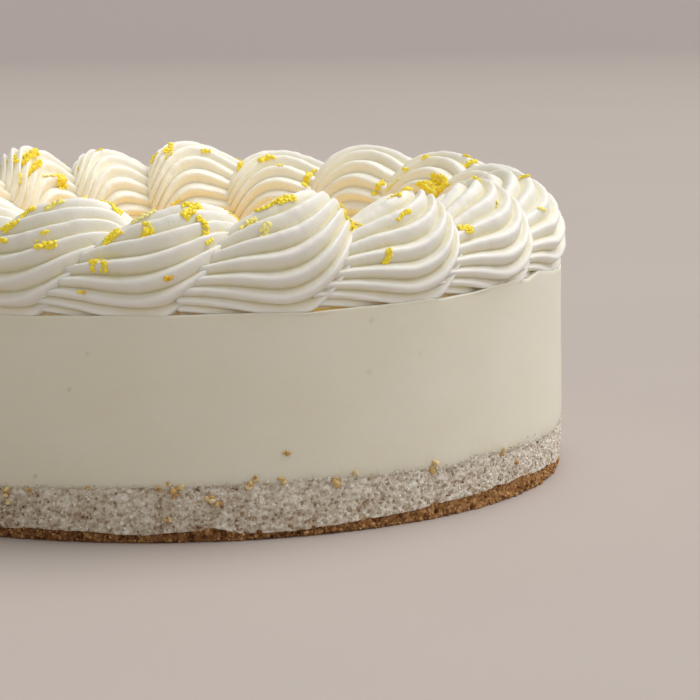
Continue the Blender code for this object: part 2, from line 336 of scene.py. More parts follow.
def grain_shape() -> tuple[Array, Array]:
    """Twelve corners and twenty faces of a round grain: golden-ratio rectangles.

    Returns:
        Unit corners and corner numbers of the faces.
    """
    golden = (1.0 + math.sqrt(5.0)) / 2.0
    corners = np.array([(-1, golden, 0), (1, golden, 0), (-1, -golden, 0), (1, -golden, 0),
                        (0, -1, golden), (0, 1, golden), (0, -1, -golden), (0, 1, -golden),
                        (golden, 0, -1), (golden, 0, 1), (-golden, 0, -1), (-golden, 0, 1)])
    faces = np.array([(0, 11, 5), (0, 5, 1), (0, 1, 7), (0, 7, 10), (0, 10, 11), (1, 5, 9), (5, 11, 4),
                      (11, 10, 2), (10, 7, 6), (7, 1, 8), (3, 9, 4), (3, 4, 2), (3, 2, 6), (3, 6, 8),
                      (3, 8, 9), (4, 9, 5), (2, 4, 11), (6, 2, 10), (8, 6, 7), (9, 8, 1)])
    return corners / np.linalg.norm(corners[0]), faces


def turned_frames(count: int, rng: np.random.Generator) -> Array:
    """Random turns: rotation matrices of random unit quaternions.

    Args:
        count: how many.
        rng: seeded source.

    Returns:
        count by 3 by 3, one axis in each row.
    """
    quaternion = rng.normal(size=(count, 4))
    quaternion /= np.linalg.norm(quaternion, axis=1, keepdims=True)
    w, x, y, z = quaternion.T
    rows = [[1 - 2 * (y * y + z * z), 2 * (x * y + w * z), 2 * (x * z - w * y)],
            [2 * (x * y - w * z), 1 - 2 * (x * x + z * z), 2 * (y * z + w * x)],
            [2 * (x * z + w * y), 2 * (y * z - w * x), 1 - 2 * (x * x + y * y)]]
    return np.moveaxis(np.array(rows), -1, 0)


def loose_grains(centres: Array, frames: Array, sizes: Array, tones: Array,
                 form: GrainForm, rng: np.random.Generator) -> Surface:
    """Uneven grains: each corner of a round grain is pushed in or out, stretched and turned.

    Args:
        centres: middles of the grains.
        frames: three axes of each grain, one in each row.
        sizes: half sizes along those axes.
        tones: colour value of each grain.
        form: how uneven the grains are.
        rng: seeded source.

    Returns:
        One surface that holds all grains.
    """
    corners, faces = grain_shape()
    count = len(centres)
    wobble = 1.0 + rng.uniform(-form.value, form.value, (count, len(corners), 1))
    local = corners[None] * wobble * sizes[:, None, :]
    points = np.einsum("gki,gij->gkj", local, frames) + centres[:, None, :]
    shift = (np.arange(count) * len(corners))[:, None, None]
    return Surface(points.reshape(-1, 3), [(faces[None] + shift).reshape(-1, 3)],
                   {"tone": np.repeat(tones, len(corners))})


# Finishes

class Recipe:
    """Node tree of one finish while it is put together."""

    def __init__(self, name: str) -> None:
        """Start from a plain shader and the piece's own coordinates.

        Args:
            name: name of the material.
        """
        self.material = bpy.data.materials.new(name)
        self.material.use_nodes = True
        self.material.cycles.emission_sampling = "NONE"
        self.tree = self.material.node_tree
        self.place = self.tree.nodes.new("ShaderNodeTexCoord").outputs["Object"]

    def fill(self, node: bpy.types.Node, **values: Socket | float | tuple[float, ...] | None) -> None:
        """Link results into a node's inputs and set plain values on them.

        Args:
            node: the node.
            values: input names, with underscores for spaces, and what goes in; None is left out.
        """
        for name, value in values.items():
            target = node.inputs[name.replace("_", " ")]
            if isinstance(value, Socket):
                self.tree.links.new(value, target)
            elif value is not None:
                target.default_value = value

    def shade(self, **values: Socket | float | tuple[float, ...]) -> Finish:
        """Fill the inputs of the shader and hand the material over."""
        self.fill(self.tree.nodes["Principled BSDF"], **values)
        return self.material

    def add(self, kind: str, result: str, **values: Socket | float | tuple[float, ...] | None) -> Socket:
        """Add a node and fill its inputs.

        Args:
            kind: Blender's name of the node.
            result: name of the output that is wanted.
            values: as for fill.

        Returns:
            Socket with the result.
        """
        node = self.tree.nodes.new(kind)
        self.fill(node, **values)
        return node.outputs[result]

    def noise(self, scale: float, detail: float = 4.0, roughness: float = 0.55,
              place: Socket | None = None) -> Socket:
        """Cloudy noise.

        Args:
            scale: cells for each metre.
            detail: finer layers.
            roughness: strength of the finer layers.
            place: coordinates, the piece's own if left out.

        Returns:
            Socket with the value.
        """
        return self.add("ShaderNodeTexNoise", "Fac", Scale=scale, Detail=detail, Roughness=roughness,
                        Vector=place or self.place)

    def cells(self, scale: float) -> Socket:
        """Distance to scattered points, for pits and pores."""
        return self.add("ShaderNodeTexVoronoi", "Distance", Scale=scale, Vector=self.place)

    def mark(self, name: str) -> Socket:
        """A vertex value of the piece.

        Args:
            name: name of the value.

        Returns:
            Socket with the value.
        """
        node = self.tree.nodes.new("ShaderNodeAttribute")
        node.attribute_name = name
        return node.outputs["Fac"]

    def span(self, value: Socket, low: float, high: float, first: float = 0.0, last: float = 1.0) -> Socket:
        """Straight line between two values, flat outside.

        Args:
            value: what is read.
            low: value that gives first.
            high: value that gives last.
            first: result at low.
            last: result at high.

        Returns:
            Socket with the result.
        """
        return self.add("ShaderNodeMapRange", "Result", Value=value, From_Min=low, From_Max=high,
                        To_Min=first, To_Max=last)

    def swing(self, noise: Socket, first: float = 0.0, last: float = 1.0) -> Socket:
        """A noise's usual swing, stretched from one result to another."""
        return self.span(noise, *NOISE_SWING, first, last)

    def join(self, first: Socket | float, second: Socket, share: Socket | float) -> Socket:
        """Sum: first + share * second.

        Args:
            first: what is added to.
            second: what is added.
            share: how much of it is added.

        Returns:
            Socket with the sum.
        """
        node = self.tree.nodes.new("ShaderNodeMath")
        node.operation = "MULTIPLY_ADD"
        for target, value in zip(node.inputs, (second, share, first)):
            if isinstance(value, Socket):
                self.tree.links.new(value, target)
            else:
                target.default_value = value
        return node.outputs["Value"]

    def ramp(self, value: Socket, *stops: tuple[float, Colour]) -> Socket:
        """Colours along a value.

        Args:
            value: what is read.
            stops: place and colour of each stop.

        Returns:
            Socket with the colour.
        """
        result = self.add("ShaderNodeValToRGB", "Color", Fac=value)
        line = result.node.color_ramp.elements
        while len(line) < len(stops):
            line.new(0.5)
        for element, (place, colour) in zip(line, stops):
            element.position = place
            element.color = (*colour, 1.0)
        return result

    def blend(self, share: Socket, first: Socket, second: Socket) -> Socket:
        """Mix of two colours.

        Args:
            share: how much of the second colour shows.
            first: colour at share 0.
            second: colour at share 1.

        Returns:
            Socket with the colour.
        """
        node = self.tree.nodes.new("ShaderNodeMix")
        node.data_type = "RGBA"
        for number, value in ((0, share), (6, first), (7, second)):
            self.tree.links.new(value, node.inputs[number])
        return node.outputs[2]

    def bump(self, height: Socket, distance: float, strength: float = 1.0,
             over: Socket | None = None) -> Socket:
        """Fine relief from a height.

        Args:
            height: what is read.
            distance: depth of the relief.
            strength: share of it that shows.
            over: an earlier relief under this one.

        Returns:
            Socket with the bent normal.
        """
        return self.add("ShaderNodeBump", "Normal", Height=height, Distance=distance, Strength=strength,
                        Normal=over)


@dataclass(frozen=True)
class WhippedCream:
    """Ivory whipped cream with painted light: a painted highlight on the ridges, painted shade and warm
    bounce light in the grooves, and a yellow painted glow near the curd.
    """

    # crest, warm and groove colours run from a painted highlight on the ridges to painted shade in the
    # grooves
    crest: Colour = (0.850, 0.830, 0.775)
    groove_painted_shade: Colour = (0.770, 0.700, 0.440)
    warm: Colour = (0.815, 0.780, 0.655)
    # Brighter yellow colours and a faint emission on the inner side and near the curd: painted glow, as if
    # lit from within
    glow_dark: Colour = (0.975, 0.898, 0.715)
    glow_light: Colour = (0.945, 0.918, 0.825)
    painted_glow_emission: float = 0.035

    def make(self) -> Finish:
        """Material of the piped shells."""
        recipe = Recipe("whipped_cream")
        cloud = recipe.swing(recipe.noise(160.0, 3.0), -0.5, 0.5)
        ridge = recipe.join(recipe.mark("ridge"), cloud, 0.25)
        # Painted highlight on the crests and painted shade in the grooves, read from the ridge mark
        colour = recipe.ramp(ridge, (0.0, self.groove_painted_shade), (0.28, self.warm), (0.75, self.crest))
        painted_glow = recipe.ramp(ridge, (0.0, self.glow_dark), (0.6, self.glow_light))
        painted_glow_share = recipe.mark("painted_glow")
        grain = recipe.bump(recipe.noise(1500.0, 3.0, 0.6), 0.00010, 0.55)
        pits = recipe.span(recipe.cells(520.0), 0.05, 0.22)
        # Painted glow mixed into the base colour and given off as emission
        return recipe.shade(
            Base_Color=recipe.blend(painted_glow_share, colour, painted_glow), Specular_IOR_Level=0.42,
            Emission_Color=painted_glow, Emission_Strength=recipe.span(painted_glow_share, 0.0, 1.0, 0.0, self.painted_glow_emission),
            Roughness=recipe.swing(recipe.noise(420.0), 0.36, 0.52),
            Normal=recipe.bump(pits, 0.00012, 0.35, grain),
            Subsurface_Weight=0.50, Subsurface_Radius=(1.0, 0.94, 0.84), Subsurface_Scale=0.0014)


@dataclass(frozen=True)
class SetCream:
    """Pale smooth set cream with faint mottling and a few air pits; the pits and small hollows are darkened
    as painted shade.
    """

    pale: Colour = (0.795, 0.765, 0.650)
    deep: Colour = (0.770, 0.735, 0.600)
    # Colour in the air pits: painted shade
    pit_painted_shade: Colour = (0.520, 0.420, 0.240)

    def make(self) -> Finish:
        """Material of the filling."""
        recipe = Recipe("set_cream")
        level = recipe.add("ShaderNodeMapping", "Vector", Vector=recipe.place, Scale=(1.0, 1.0, 1.8))
        wide = recipe.noise(38.0, 3.0, 0.5, level)
        fine = recipe.noise(420.0, 4.0, 0.6)
        mottle = recipe.join(recipe.swing(wide), recipe.swing(fine, -0.5, 0.5), 0.35)
        body = recipe.ramp(mottle, (0.0, self.deep), (1.0, self.pale))
        dark = recipe.ramp(mottle, (0.0, self.pit_painted_shade), (1.0, self.deep))
        # Small hollows, pressed in by the bump and darkened in colour as painted shade
        hollow_spot = recipe.span(recipe.cells(95.0), 0.030, 0.055, 1.0, 0.0)
        shaded_hollows = recipe.join(0.0, hollow_spot, recipe.span(recipe.noise(60.0, 1.0), 0.52, 0.60))
        hollow = recipe.span(shaded_hollows, 0.0, 1.0, 1.0, 0.0)
        return recipe.shade(
            Base_Color=recipe.blend(recipe.join(shaded_hollows, recipe.mark("pit_painted_shade"), 1.0), body, dark),
            Roughness=recipe.swing(wide, 0.40, 0.54), Specular_IOR_Level=0.40,
            Normal=recipe.bump(hollow, 0.0003, 0.6, recipe.bump(fine, 0.00006, 0.6)),
            Subsurface_Weight=0.40, Subsurface_Radius=(1.0, 0.80, 0.45), Subsurface_Scale=0.0025)


@dataclass(frozen=True)
class LemonCurd:
    """Glossy amber curd with a faint emission: painted glow that brightens it where it lies in shade."""

    deep: Colour = (0.900, 0.480, 0.035)
    bright: Colour = (0.970, 0.640, 0.085)
    # Emission colour: painted glow
    curd_painted_glow: Colour = (1.0, 0.56, 0.07)

    def make(self) -> Finish:
        """Material of the curd."""
        recipe = Recipe("lemon_curd_gloss")
        cloud = recipe.swing(recipe.noise(70.0, 4.0, 0.5))
        return recipe.shade(
            Base_Color=recipe.ramp(cloud, (0.0, self.deep), (1.0, self.bright)),
            Roughness=recipe.swing(recipe.noise(240.0), 0.10, 0.22),
            Normal=recipe.bump(recipe.noise(260.0, 2.0), 0.0003, 0.5),
            Subsurface_Weight=0.35, Subsurface_Radius=(1.0, 0.55, 0.12), Subsurface_Scale=0.002,
            Coat_Weight=0.35, Coat_Roughness=0.06, Emission_Color=(*self.curd_painted_glow, 1.0), Emission_Strength=0.12)


@dataclass(frozen=True)
class BakedCrumb:
    """Rough crumb whose colour runs from its pores to its lightest grains; the tone it reads holds painted
    shade in pores and cracks and painted light to the right.
    """

    name: str
    stops: Stops
    grain_scale: float
    relief: float

    def make(self) -> Finish:
        """Material that reads the piece's tone value."""
        recipe = Recipe(self.name)
        fine = recipe.noise(self.grain_scale, 5.0, 0.65)
        tone = recipe.join(recipe.mark("tone"), recipe.swing(fine, -0.5, 0.5), 0.38)
        return recipe.shade(
            Base_Color=recipe.ramp(tone, *self.stops), Roughness=recipe.swing(fine, 0.80, 0.95),
            Normal=recipe.bump(fine, self.relief, 0.9), Specular_IOR_Level=0.25,
            Subsurface_Weight=0.15, Subsurface_Radius=(1.0, 0.70, 0.45), Subsurface_Scale=0.0006)


# The darkest stops colour the pores and cracks: painted shade
SPONGE_CRUMB = BakedCrumb("sponge_crumb", (
    (0.00, (0.200, 0.100, 0.050)), (0.22, (0.410, 0.295, 0.195)),
    (0.50, (0.590, 0.510, 0.400)), (0.90, (0.850, 0.800, 0.715))), 1600.0, 0.00022)
BISCUIT_CRUMB = BakedCrumb("biscuit_crumb", (
    (0.00, (0.070, 0.024, 0.009)), (0.25, (0.190, 0.076, 0.026)),
    (0.55, (0.335, 0.160, 0.056)), (0.95, (0.600, 0.350, 0.150))), 1300.0, 0.00022)
TOASTED_CRUMB = BakedCrumb("toasted_crumb", (
    (0.00, (0.520, 0.280, 0.085)), (0.50, (0.720, 0.490, 0.205)),
    (1.00, (0.850, 0.720, 0.430))), 1500.0, 0.00015)


@dataclass(frozen=True)
class GratedZest:
    """Moist lemon zest: amber at tone 0, bright yellow in the middle, pale at 1, with a faint emission of
    its own colour as painted glow.
    """

    amber: Colour = (0.820, 0.430, 0.030)
    yellow: Colour = (1.000, 0.745, 0.020)
    bright: Colour = (1.000, 0.840, 0.060)
    pale: Colour = (1.000, 0.900, 0.380)

    def make(self) -> Finish:
        """Material of the zest."""
        recipe = Recipe("grated_zest")
        fine = recipe.noise(1500.0, 3.0)
        tone = recipe.join(recipe.mark("tone"), recipe.swing(fine, -0.5, 0.5), 0.12)
        colour = recipe.ramp(tone, (0.0, self.amber), (0.25, self.yellow),
                             (0.65, self.bright), (1.0, self.pale))
        # Faint emission of the zest's own colour: painted glow
        return recipe.shade(
            Base_Color=colour, Emission_Color=colour, Emission_Strength=0.05,
            Roughness=recipe.swing(fine, 0.28, 0.46), Normal=recipe.bump(fine, 0.00005, 0.5),
            Subsurface_Weight=0.12, Subsurface_Radius=(1.0, 0.95, 0.60), Subsurface_Scale=0.0005)


@dataclass(frozen=True)
class PaleFloor:
    """Plain pale floor with a faint cloud in its colour, and painted shade that makes it a little darker far
    behind.
    """

    light: Colour = (0.472, 0.415, 0.384)
    dark: Colour = (0.444, 0.389, 0.358)
    # Colour far behind: painted shade
    far_painted_shade: Colour = (0.335, 0.288, 0.266)
    near_edge: float = 0.25
    far_edge: float = 2.6

    def make(self) -> Finish:
        """Material of the floor."""
        recipe = Recipe("pale_floor")
        near = recipe.ramp(recipe.swing(recipe.noise(3.0, 5.0, 0.6)), (0.0, self.dark), (1.0, self.light))
        back = recipe.add("ShaderNodeSeparateXYZ", "Y", Vector=recipe.place)
        behind = recipe.span(back, self.near_edge, self.far_edge)
        far_painted_shade = recipe.ramp(behind, (0.0, self.light), (1.0, self.far_painted_shade))
        colour = recipe.blend(behind, near, far_painted_shade)
        return recipe.shade(Base_Color=colour, Roughness=0.75, Specular_IOR_Level=0.2)


# Studio

@dataclass(frozen=True)
class Viewpoint:
    """Camera of the picture and the lines of sight through its pixels."""

    focal: float = 2686.0
    distance: float = 0.7270
    height: float = 0.14212
    pitch: float = 8.720
    yaw: float = 3.353
    roll: float = -0.960
    sensor: float = 36.0

    def axes(self) -> tuple[Array, Array, Array]:
        """Right, up and forward directions of the camera.

        Returns:
            Three unit vectors: pitch and yaw aim it, roll turns it about its sight.
        """
        pitch, yaw, roll = (math.radians(value) for value in (self.pitch, self.yaw, self.roll))
        forward = np.array([math.sin(yaw) * math.cos(pitch), math.cos(yaw) * math.cos(pitch),
                            -math.sin(pitch)])
        level = np.array([math.cos(yaw), -math.sin(yaw), 0.0])
        lift = np.cross(level, forward)
        right = level * math.cos(roll) + lift * math.sin(roll)
        return right, lift * math.cos(roll) - level * math.sin(roll), forward

    def eye(self) -> Array:
        """Place of the camera."""
        return np.array([0.0, -self.distance, self.height])

    def pixels(self, points: Array) -> tuple[Array, Array, Array]:
        """Where points show in the picture.

        Args:
            points: places with a last axis of 3.

        Returns:
            Pixel across, pixel down and depth of each point.
        """
        right, up, forward = self.axes()
        from_eye = points - self.eye()
        depth = from_eye @ forward
        half = FRAME_SIDE / 2.0
        across = half + self.focal * (from_eye @ right) / depth
        return across, half - self.focal * (from_eye @ up) / depth, depth

    def on_side(self, across: float, down: float, radius: float) -> tuple[float, float]:
        """Where the sight through a pixel meets an upright cylinder round the axis.

        Args:
            across: pixel across.
            down: pixel down.
            radius: radius of the cylinder.

        Returns:
            Angle from the front in radians, and height.
        """
        right, up, forward = self.axes()
        half = FRAME_SIDE / 2.0
        sight = forward + right * (across - half) / self.focal + up * (half - down) / self.focal
        eye = self.eye()
        square = sight[0] ** 2 + sight[1] ** 2
        middle = eye[0] * sight[0] + eye[1] * sight[1]
        rest = eye[0] ** 2 + eye[1] ** 2 - radius ** 2
        reach = (-middle - math.sqrt(max(middle ** 2 - square * rest, 0.0))) / square
        hit = eye + reach * sight
        return math.atan2(hit[0], -hit[1]), float(hit[2])

    def make(self) -> None:
        """Place the camera and make it the scene's."""
        right, up, forward = self.axes()
        lens = bpy.data.cameras.new("camera")
        lens.sensor_width = self.sensor
        lens.lens = self.sensor * self.focal / FRAME_SIDE
        camera = in_scene("camera", lens)
        placed = np.eye(4)
        placed[:3] = np.stack([right, up, -forward, self.eye()], axis=-1)
        camera.matrix_world = Matrix(placed.tolist())
        bpy.context.scene.camera = camera


@dataclass(frozen=True)
class Studio:
    """Soft light from the right and behind, sky light that fades to the left, and the floor."""

    key_angle: float = 112.0
    key_rise: float = 58.0
    key_spread: float = 50.0
    key_strength: float = 2.1
    key_colour: Colour = (1.0, 0.990, 0.975)
    sky_left: Colour = (0.400, 0.390, 0.345)
    sky_right: Colour = (0.760, 0.752, 0.760)
    floor_side: float = 12.0

    def sky(self) -> None:
        """Sky whose colour runs from left to right: its direction's x, from -1 to 1, read by a ramp."""
        world = bpy.data.worlds.new("even_light")
        bpy.context.scene.world = world
        world.use_nodes = True
        nodes, links = world.node_tree.nodes, world.node_tree.links
        heading = nodes.new("ShaderNodeTexCoord")
        parts = nodes.new("ShaderNodeSeparateXYZ")
        fade = nodes.new("ShaderNodeMapRange")
        fade.inputs["From Min"].default_value = -1.0
        tint = nodes.new("ShaderNodeValToRGB")
        for element, colour in zip(tint.color_ramp.elements, (self.sky_left, self.sky_right)):
            element.color = (*colour, 1.0)
        links.new(heading.outputs["Generated"], parts.inputs["Vector"])
        links.new(parts.outputs["X"], fade.inputs["Value"])
        links.new(fade.outputs["Result"], tint.inputs["Fac"])
        links.new(tint.outputs["Color"], nodes["Background"].inputs["Color"])

    def key(self) -> None:
        """One broad sun."""
        light = bpy.data.lights.new("key_light", "SUN")
        light.energy = self.key_strength
        light.angle = math.radians(self.key_spread)
        light.color = self.key_colour
        angle, rise = math.radians(self.key_angle), math.radians(self.key_rise)
        source = Vector(ring_points(math.cos(rise), angle, math.sin(rise)))
        in_scene("key_light", light).matrix_world = source.to_track_quat("Z", "Y").to_matrix().to_4x4()

    def make(self, finish: Finish) -> None:
        """Place the lights and the floor.

        Args:
            finish: material of the floor.
        """
        self.sky()
        self.key()
        mesh = bpy.data.meshes.new("floor")
        side = self.floor_side
        mesh.from_pydata([(-side, -side, 0.0), (side, -side, 0.0), (side, side, 0.0), (-side, side, 0.0)],
                         [], [(0, 1, 2, 3)])
        mesh.materials.append(finish)
        in_scene("floor", mesh)


# Layers

@dataclass(frozen=True)
class Layering:
    """Edge heights of the layers all round, from knots of angle (degrees) and height (mm)."""

    biscuit_knots: Knots = (
        (-27, 2.9), (-20, 3), (-14, 2.9), (-8, 2.6), (-2.6, 2.7), (2.2, 3.6), (6, 2),
        (13, 1.8), (17.2, 2.2), (21.7, 2.9), (26.5, 3.2), (30, 3.1), (35, 4), (41, 4.1),
        (47.5, 4.5), (50, 5.3), (52.5, 4.8), (59, 5.1), (63.5, 4.6), (68, 4.5), (73, 3.5),
        (80, 2.9), (95, 3.1), (120, 2.6), (145, 3.4),
        (170, 2.7), (200, 3.2), (230, 2.7), (265, 3.3), (300, 2.7))
    sponge_knots: Knots = (
        (-27, 12.6), (-19, 13.4), (-11, 13.8), (-4, 13.8), (4, 14), (13, 13.7), (20, 13.6),
        (30, 12.9), (37, 12.7), (45, 13.1), (56, 12.9), (70, 12.2), (95, 13.2), (120, 12.8),
        (145, 13.5), (170, 13), (200, 13.6), (230, 12.9), (265, 13.5), (300, 13))
    rim_height: float = 54.9 * MM
    rim_wave: float = 0.22 * MM
    rim_fine: float = 0.20 * MM
    rim_cell: float = 9.0 * MM
    edge_cell: float = 7.0 * MM
    biscuit_wave: float = 0.28 * MM
    sponge_wave: float = 0.34 * MM
    flap_angle: float = math.radians(60.0)
    flap_width: float = math.radians(11.0)
    flap_height: float = 1.25 * MM

    def along(self, knots: Knots, angle: Array, wave: float, seed: int) -> Array:
        """Height of an edge: straight between its knots, with a little noise on it.

        Args:
            knots: angle and height of each knot.
            angle: angles from the front, in radians.
            wave: size of the noise.
            seed: seed of the noise.

        Returns:
            Height at each angle.
        """
        places, heights = np.array(knots).T
        height = np.interp(np.degrees(angle), places, heights, period=360.0) * MM
        return height + wave * rough_noise(ring_points(NOISE_CIRCLE, angle, 0.0), self.edge_cell, seed)

    def biscuit_edge(self, angle: Array) -> Array:
        """Top of the crumb base at its side."""
        return self.along(self.biscuit_knots, angle, self.biscuit_wave, 5)

    def sponge_edge(self, angle: Array) -> Array:
        """Top of the sponge at its side."""
        return self.along(self.sponge_knots, angle, self.sponge_wave, 8)

    def rim_edge(self, angle: Array) -> Array:
        """Top of the thin lip: two waves round the rim, fine noise and one raised flap.

        Args:
            angle: angles from the front, in radians.

        Returns:
            Height at each angle.
        """
        wave = np.cos(7.0 * angle + 0.6) + 0.5 * np.sin(17.0 * angle)
        fine = rough_noise(ring_points(NOISE_CIRCLE, angle, 0.02), self.rim_cell, 21, 4)
        gap = (angle - self.flap_angle + math.pi) % TURN - math.pi
        flap = self.flap_height * np.exp(-(gap / self.flap_width) ** 4) * (1.0 + 0.5 * fine)
        return self.rim_height + self.rim_wave * wave + self.rim_fine * fine + flap


@dataclass
class CreamFilling:
    """Deep set cream: smooth side, thin wavy lip and a recess for the curd."""

    layering: Layering
    viewpoint: Viewpoint
    radius: float = 100.0 * MM
    under_sponge: float = 0.25 * MM
    under_radius: float = 97.0 * MM
    foot_inset: float = 0.60 * MM
    foot_rise: float = 1.3 * MM
    dent: float = 0.09 * MM
    dent_cell: float = 14.0 * MM
    dent_inset: float = 0.10 * MM
    fuzz: float = 0.16 * MM
    fuzz_cell: float = 1.3 * MM
    fuzz_rise: float = 1.6 * MM
    flare: float = 0.22 * MM
    flare_cell: float = 6.0 * MM
    flare_low: float = -0.6
    lip_round: float = 0.45 * MM
    lip_inset: float = 0.08 * MM
    lip_rows: int = 7
    lip_steps: Knots = ((99.0, 0.02), (98.3, 0.06), (97.6, 0.12))
    recess_radius: float = 97.6 * MM
    recess_floor: float = 52.9 * MM
    columns: int = 1200
    side_rows: int = 54
    pits: Knots = ((87, 354), (69, 390), (371, 321), (369, 373), (420, 355), (35, 477))
    pit_width: float = 0.42 * MM
    pit_depth: float = 0.30 * MM

    def pit_places(self) -> list[tuple[float, float]]:
        """Angle and height of each air pit."""
        return [self.viewpoint.on_side(across, down, self.radius) for across, down in self.pits]

    def side(self, angle: Array) -> Array:
        """Side from the foot to below the lip: drawn in at the foot, with soft dents and pits.

        Args:
            angle: angles from the front, in radians.

        Returns:
            Rows of points.
        """
        low = self.layering.sponge_edge(angle) - self.under_sponge
        high = self.layering.rim_edge(angle) - self.lip_round
        share = np.linspace(0.0, 1.0, self.side_rows)[:, None]
        height = low + (high - low) * share
        above_foot = height - low
        radius = self.radius - self.foot_inset * np.exp(-above_foot / self.foot_rise)
        points = ring_points(radius, angle[None, :], height)
        dents = self.dent * rough_noise(points, self.dent_cell, 31) - self.dent_inset
        fuzz = self.fuzz * rough_noise(points, self.fuzz_cell, 33, 2) * np.exp(-above_foot / self.fuzz_rise)
        radius = radius + dents + fuzz
        for at, level in self.pit_places():
            gap = np.hypot((angle[None, :] - at) * self.radius, height - level)
            radius = radius - self.pit_depth * np.exp(-(gap / self.pit_width) ** 2)
        return ring_points(radius, angle[None, :], height)

    def lip(self, angle: Array) -> Array:
        """Rounded lip: a quarter turn from the side to the top, a little proud in places.

        Args:
            angle: angles from the front, in radians.

        Returns:
            Rows of points.
        """
        turn = np.linspace(0.0, 0.5 * math.pi, self.lip_rows)[1:, None]
        noise = rough_noise(ring_points(NOISE_CIRCLE, angle, 0.05), self.flare_cell, 41, 4)
        flare = self.flare * np.maximum(noise, self.flare_low)
        radius = self.radius - self.lip_round * (1.0 - np.cos(turn)) + flare[None, :] * np.sin(turn)
        height = self.layering.rim_edge(angle)[None, :] - self.lip_round * (1.0 - np.sin(turn))
        return ring_points(radius - self.lip_inset, angle[None, :], height)

    def build(self, finish: Finish) -> Piece:
        """Make the filling.

        Args:
            finish: its material.

        Returns:
            The piece, in the place of its node.
        """
        angle = full_circle(self.columns)
        foot = self.layering.sponge_edge(angle) - self.under_sponge
        rim = self.layering.rim_edge(angle)
        radii, drops = np.array(self.lip_steps).T[:, :, None] * MM
        flats = [ring_points(radius, angle, height)[None] for radius, height in (
            (CORE_RADIUS, foot), (self.under_radius, foot),
            (self.recess_radius, self.recess_floor), (CORE_RADIUS, self.recess_floor))]
        inner = ring_points(radii, angle[None, :], rim[None, :] - drops)
        points = np.concatenate([*flats[:2], self.side(angle), self.lip(angle), inner, *flats[2:]])
        surface = closed_rows(points, on_axis(foot.mean()), on_axis(self.recess_floor))
        # Painted shade at the air pits, read by the cream's material
        dark = np.zeros(len(surface.points))
        for at, level in self.pit_places():
            gap = np.linalg.norm(surface.points - ring_points(self.radius, at, level), axis=1)
            dark += np.exp(-(gap / self.pit_width) ** 2)
        surface.marks["pit_painted_shade"] = np.minimum(dark, 1.0)
        made = surface.make("filling_body", finish)
        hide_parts("cream_filling")
        return made


@dataclass
class CurdPool:
    """Thin disc of lemon curd with a slightly wavy top."""

    radius: float = 97.45 * MM
    floor: float = 53.0 * MM
    top: float = 54.62 * MM
    wave: float = 0.16 * MM
    wave_cell: float = 16.0 * MM
    climb: float = 0.10 * MM
    climb_power: int = 40
    columns: int = 300
    rows: int = 44

    def build(self, finish: Finish) -> Piece:
        """Make the curd: the top rises and falls with noise and climbs a little at the edge.

        Args:
            finish: its material.

        Returns:
            The piece, in the place of its node.
        """
        angle = full_circle(self.columns)
        under = ring_points(np.array([[0.5], [1.0]]) * self.radius, angle[None, :], self.floor)
        share = np.linspace(1.0, 0.02, self.rows)[:, None]
        over = ring_points(share * self.radius, angle[None, :], self.top)
        wave = self.wave * rough_noise(over, self.wave_cell, 51, 2)
        over[..., 2] += wave + self.climb * share ** self.climb_power
        points = np.concatenate([under, over])
        surface = closed_rows(points, on_axis(self.floor), points[-1].mean(axis=0))
        made = surface.make("curd_pool", finish)
        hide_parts("lemon_curd")
        return made


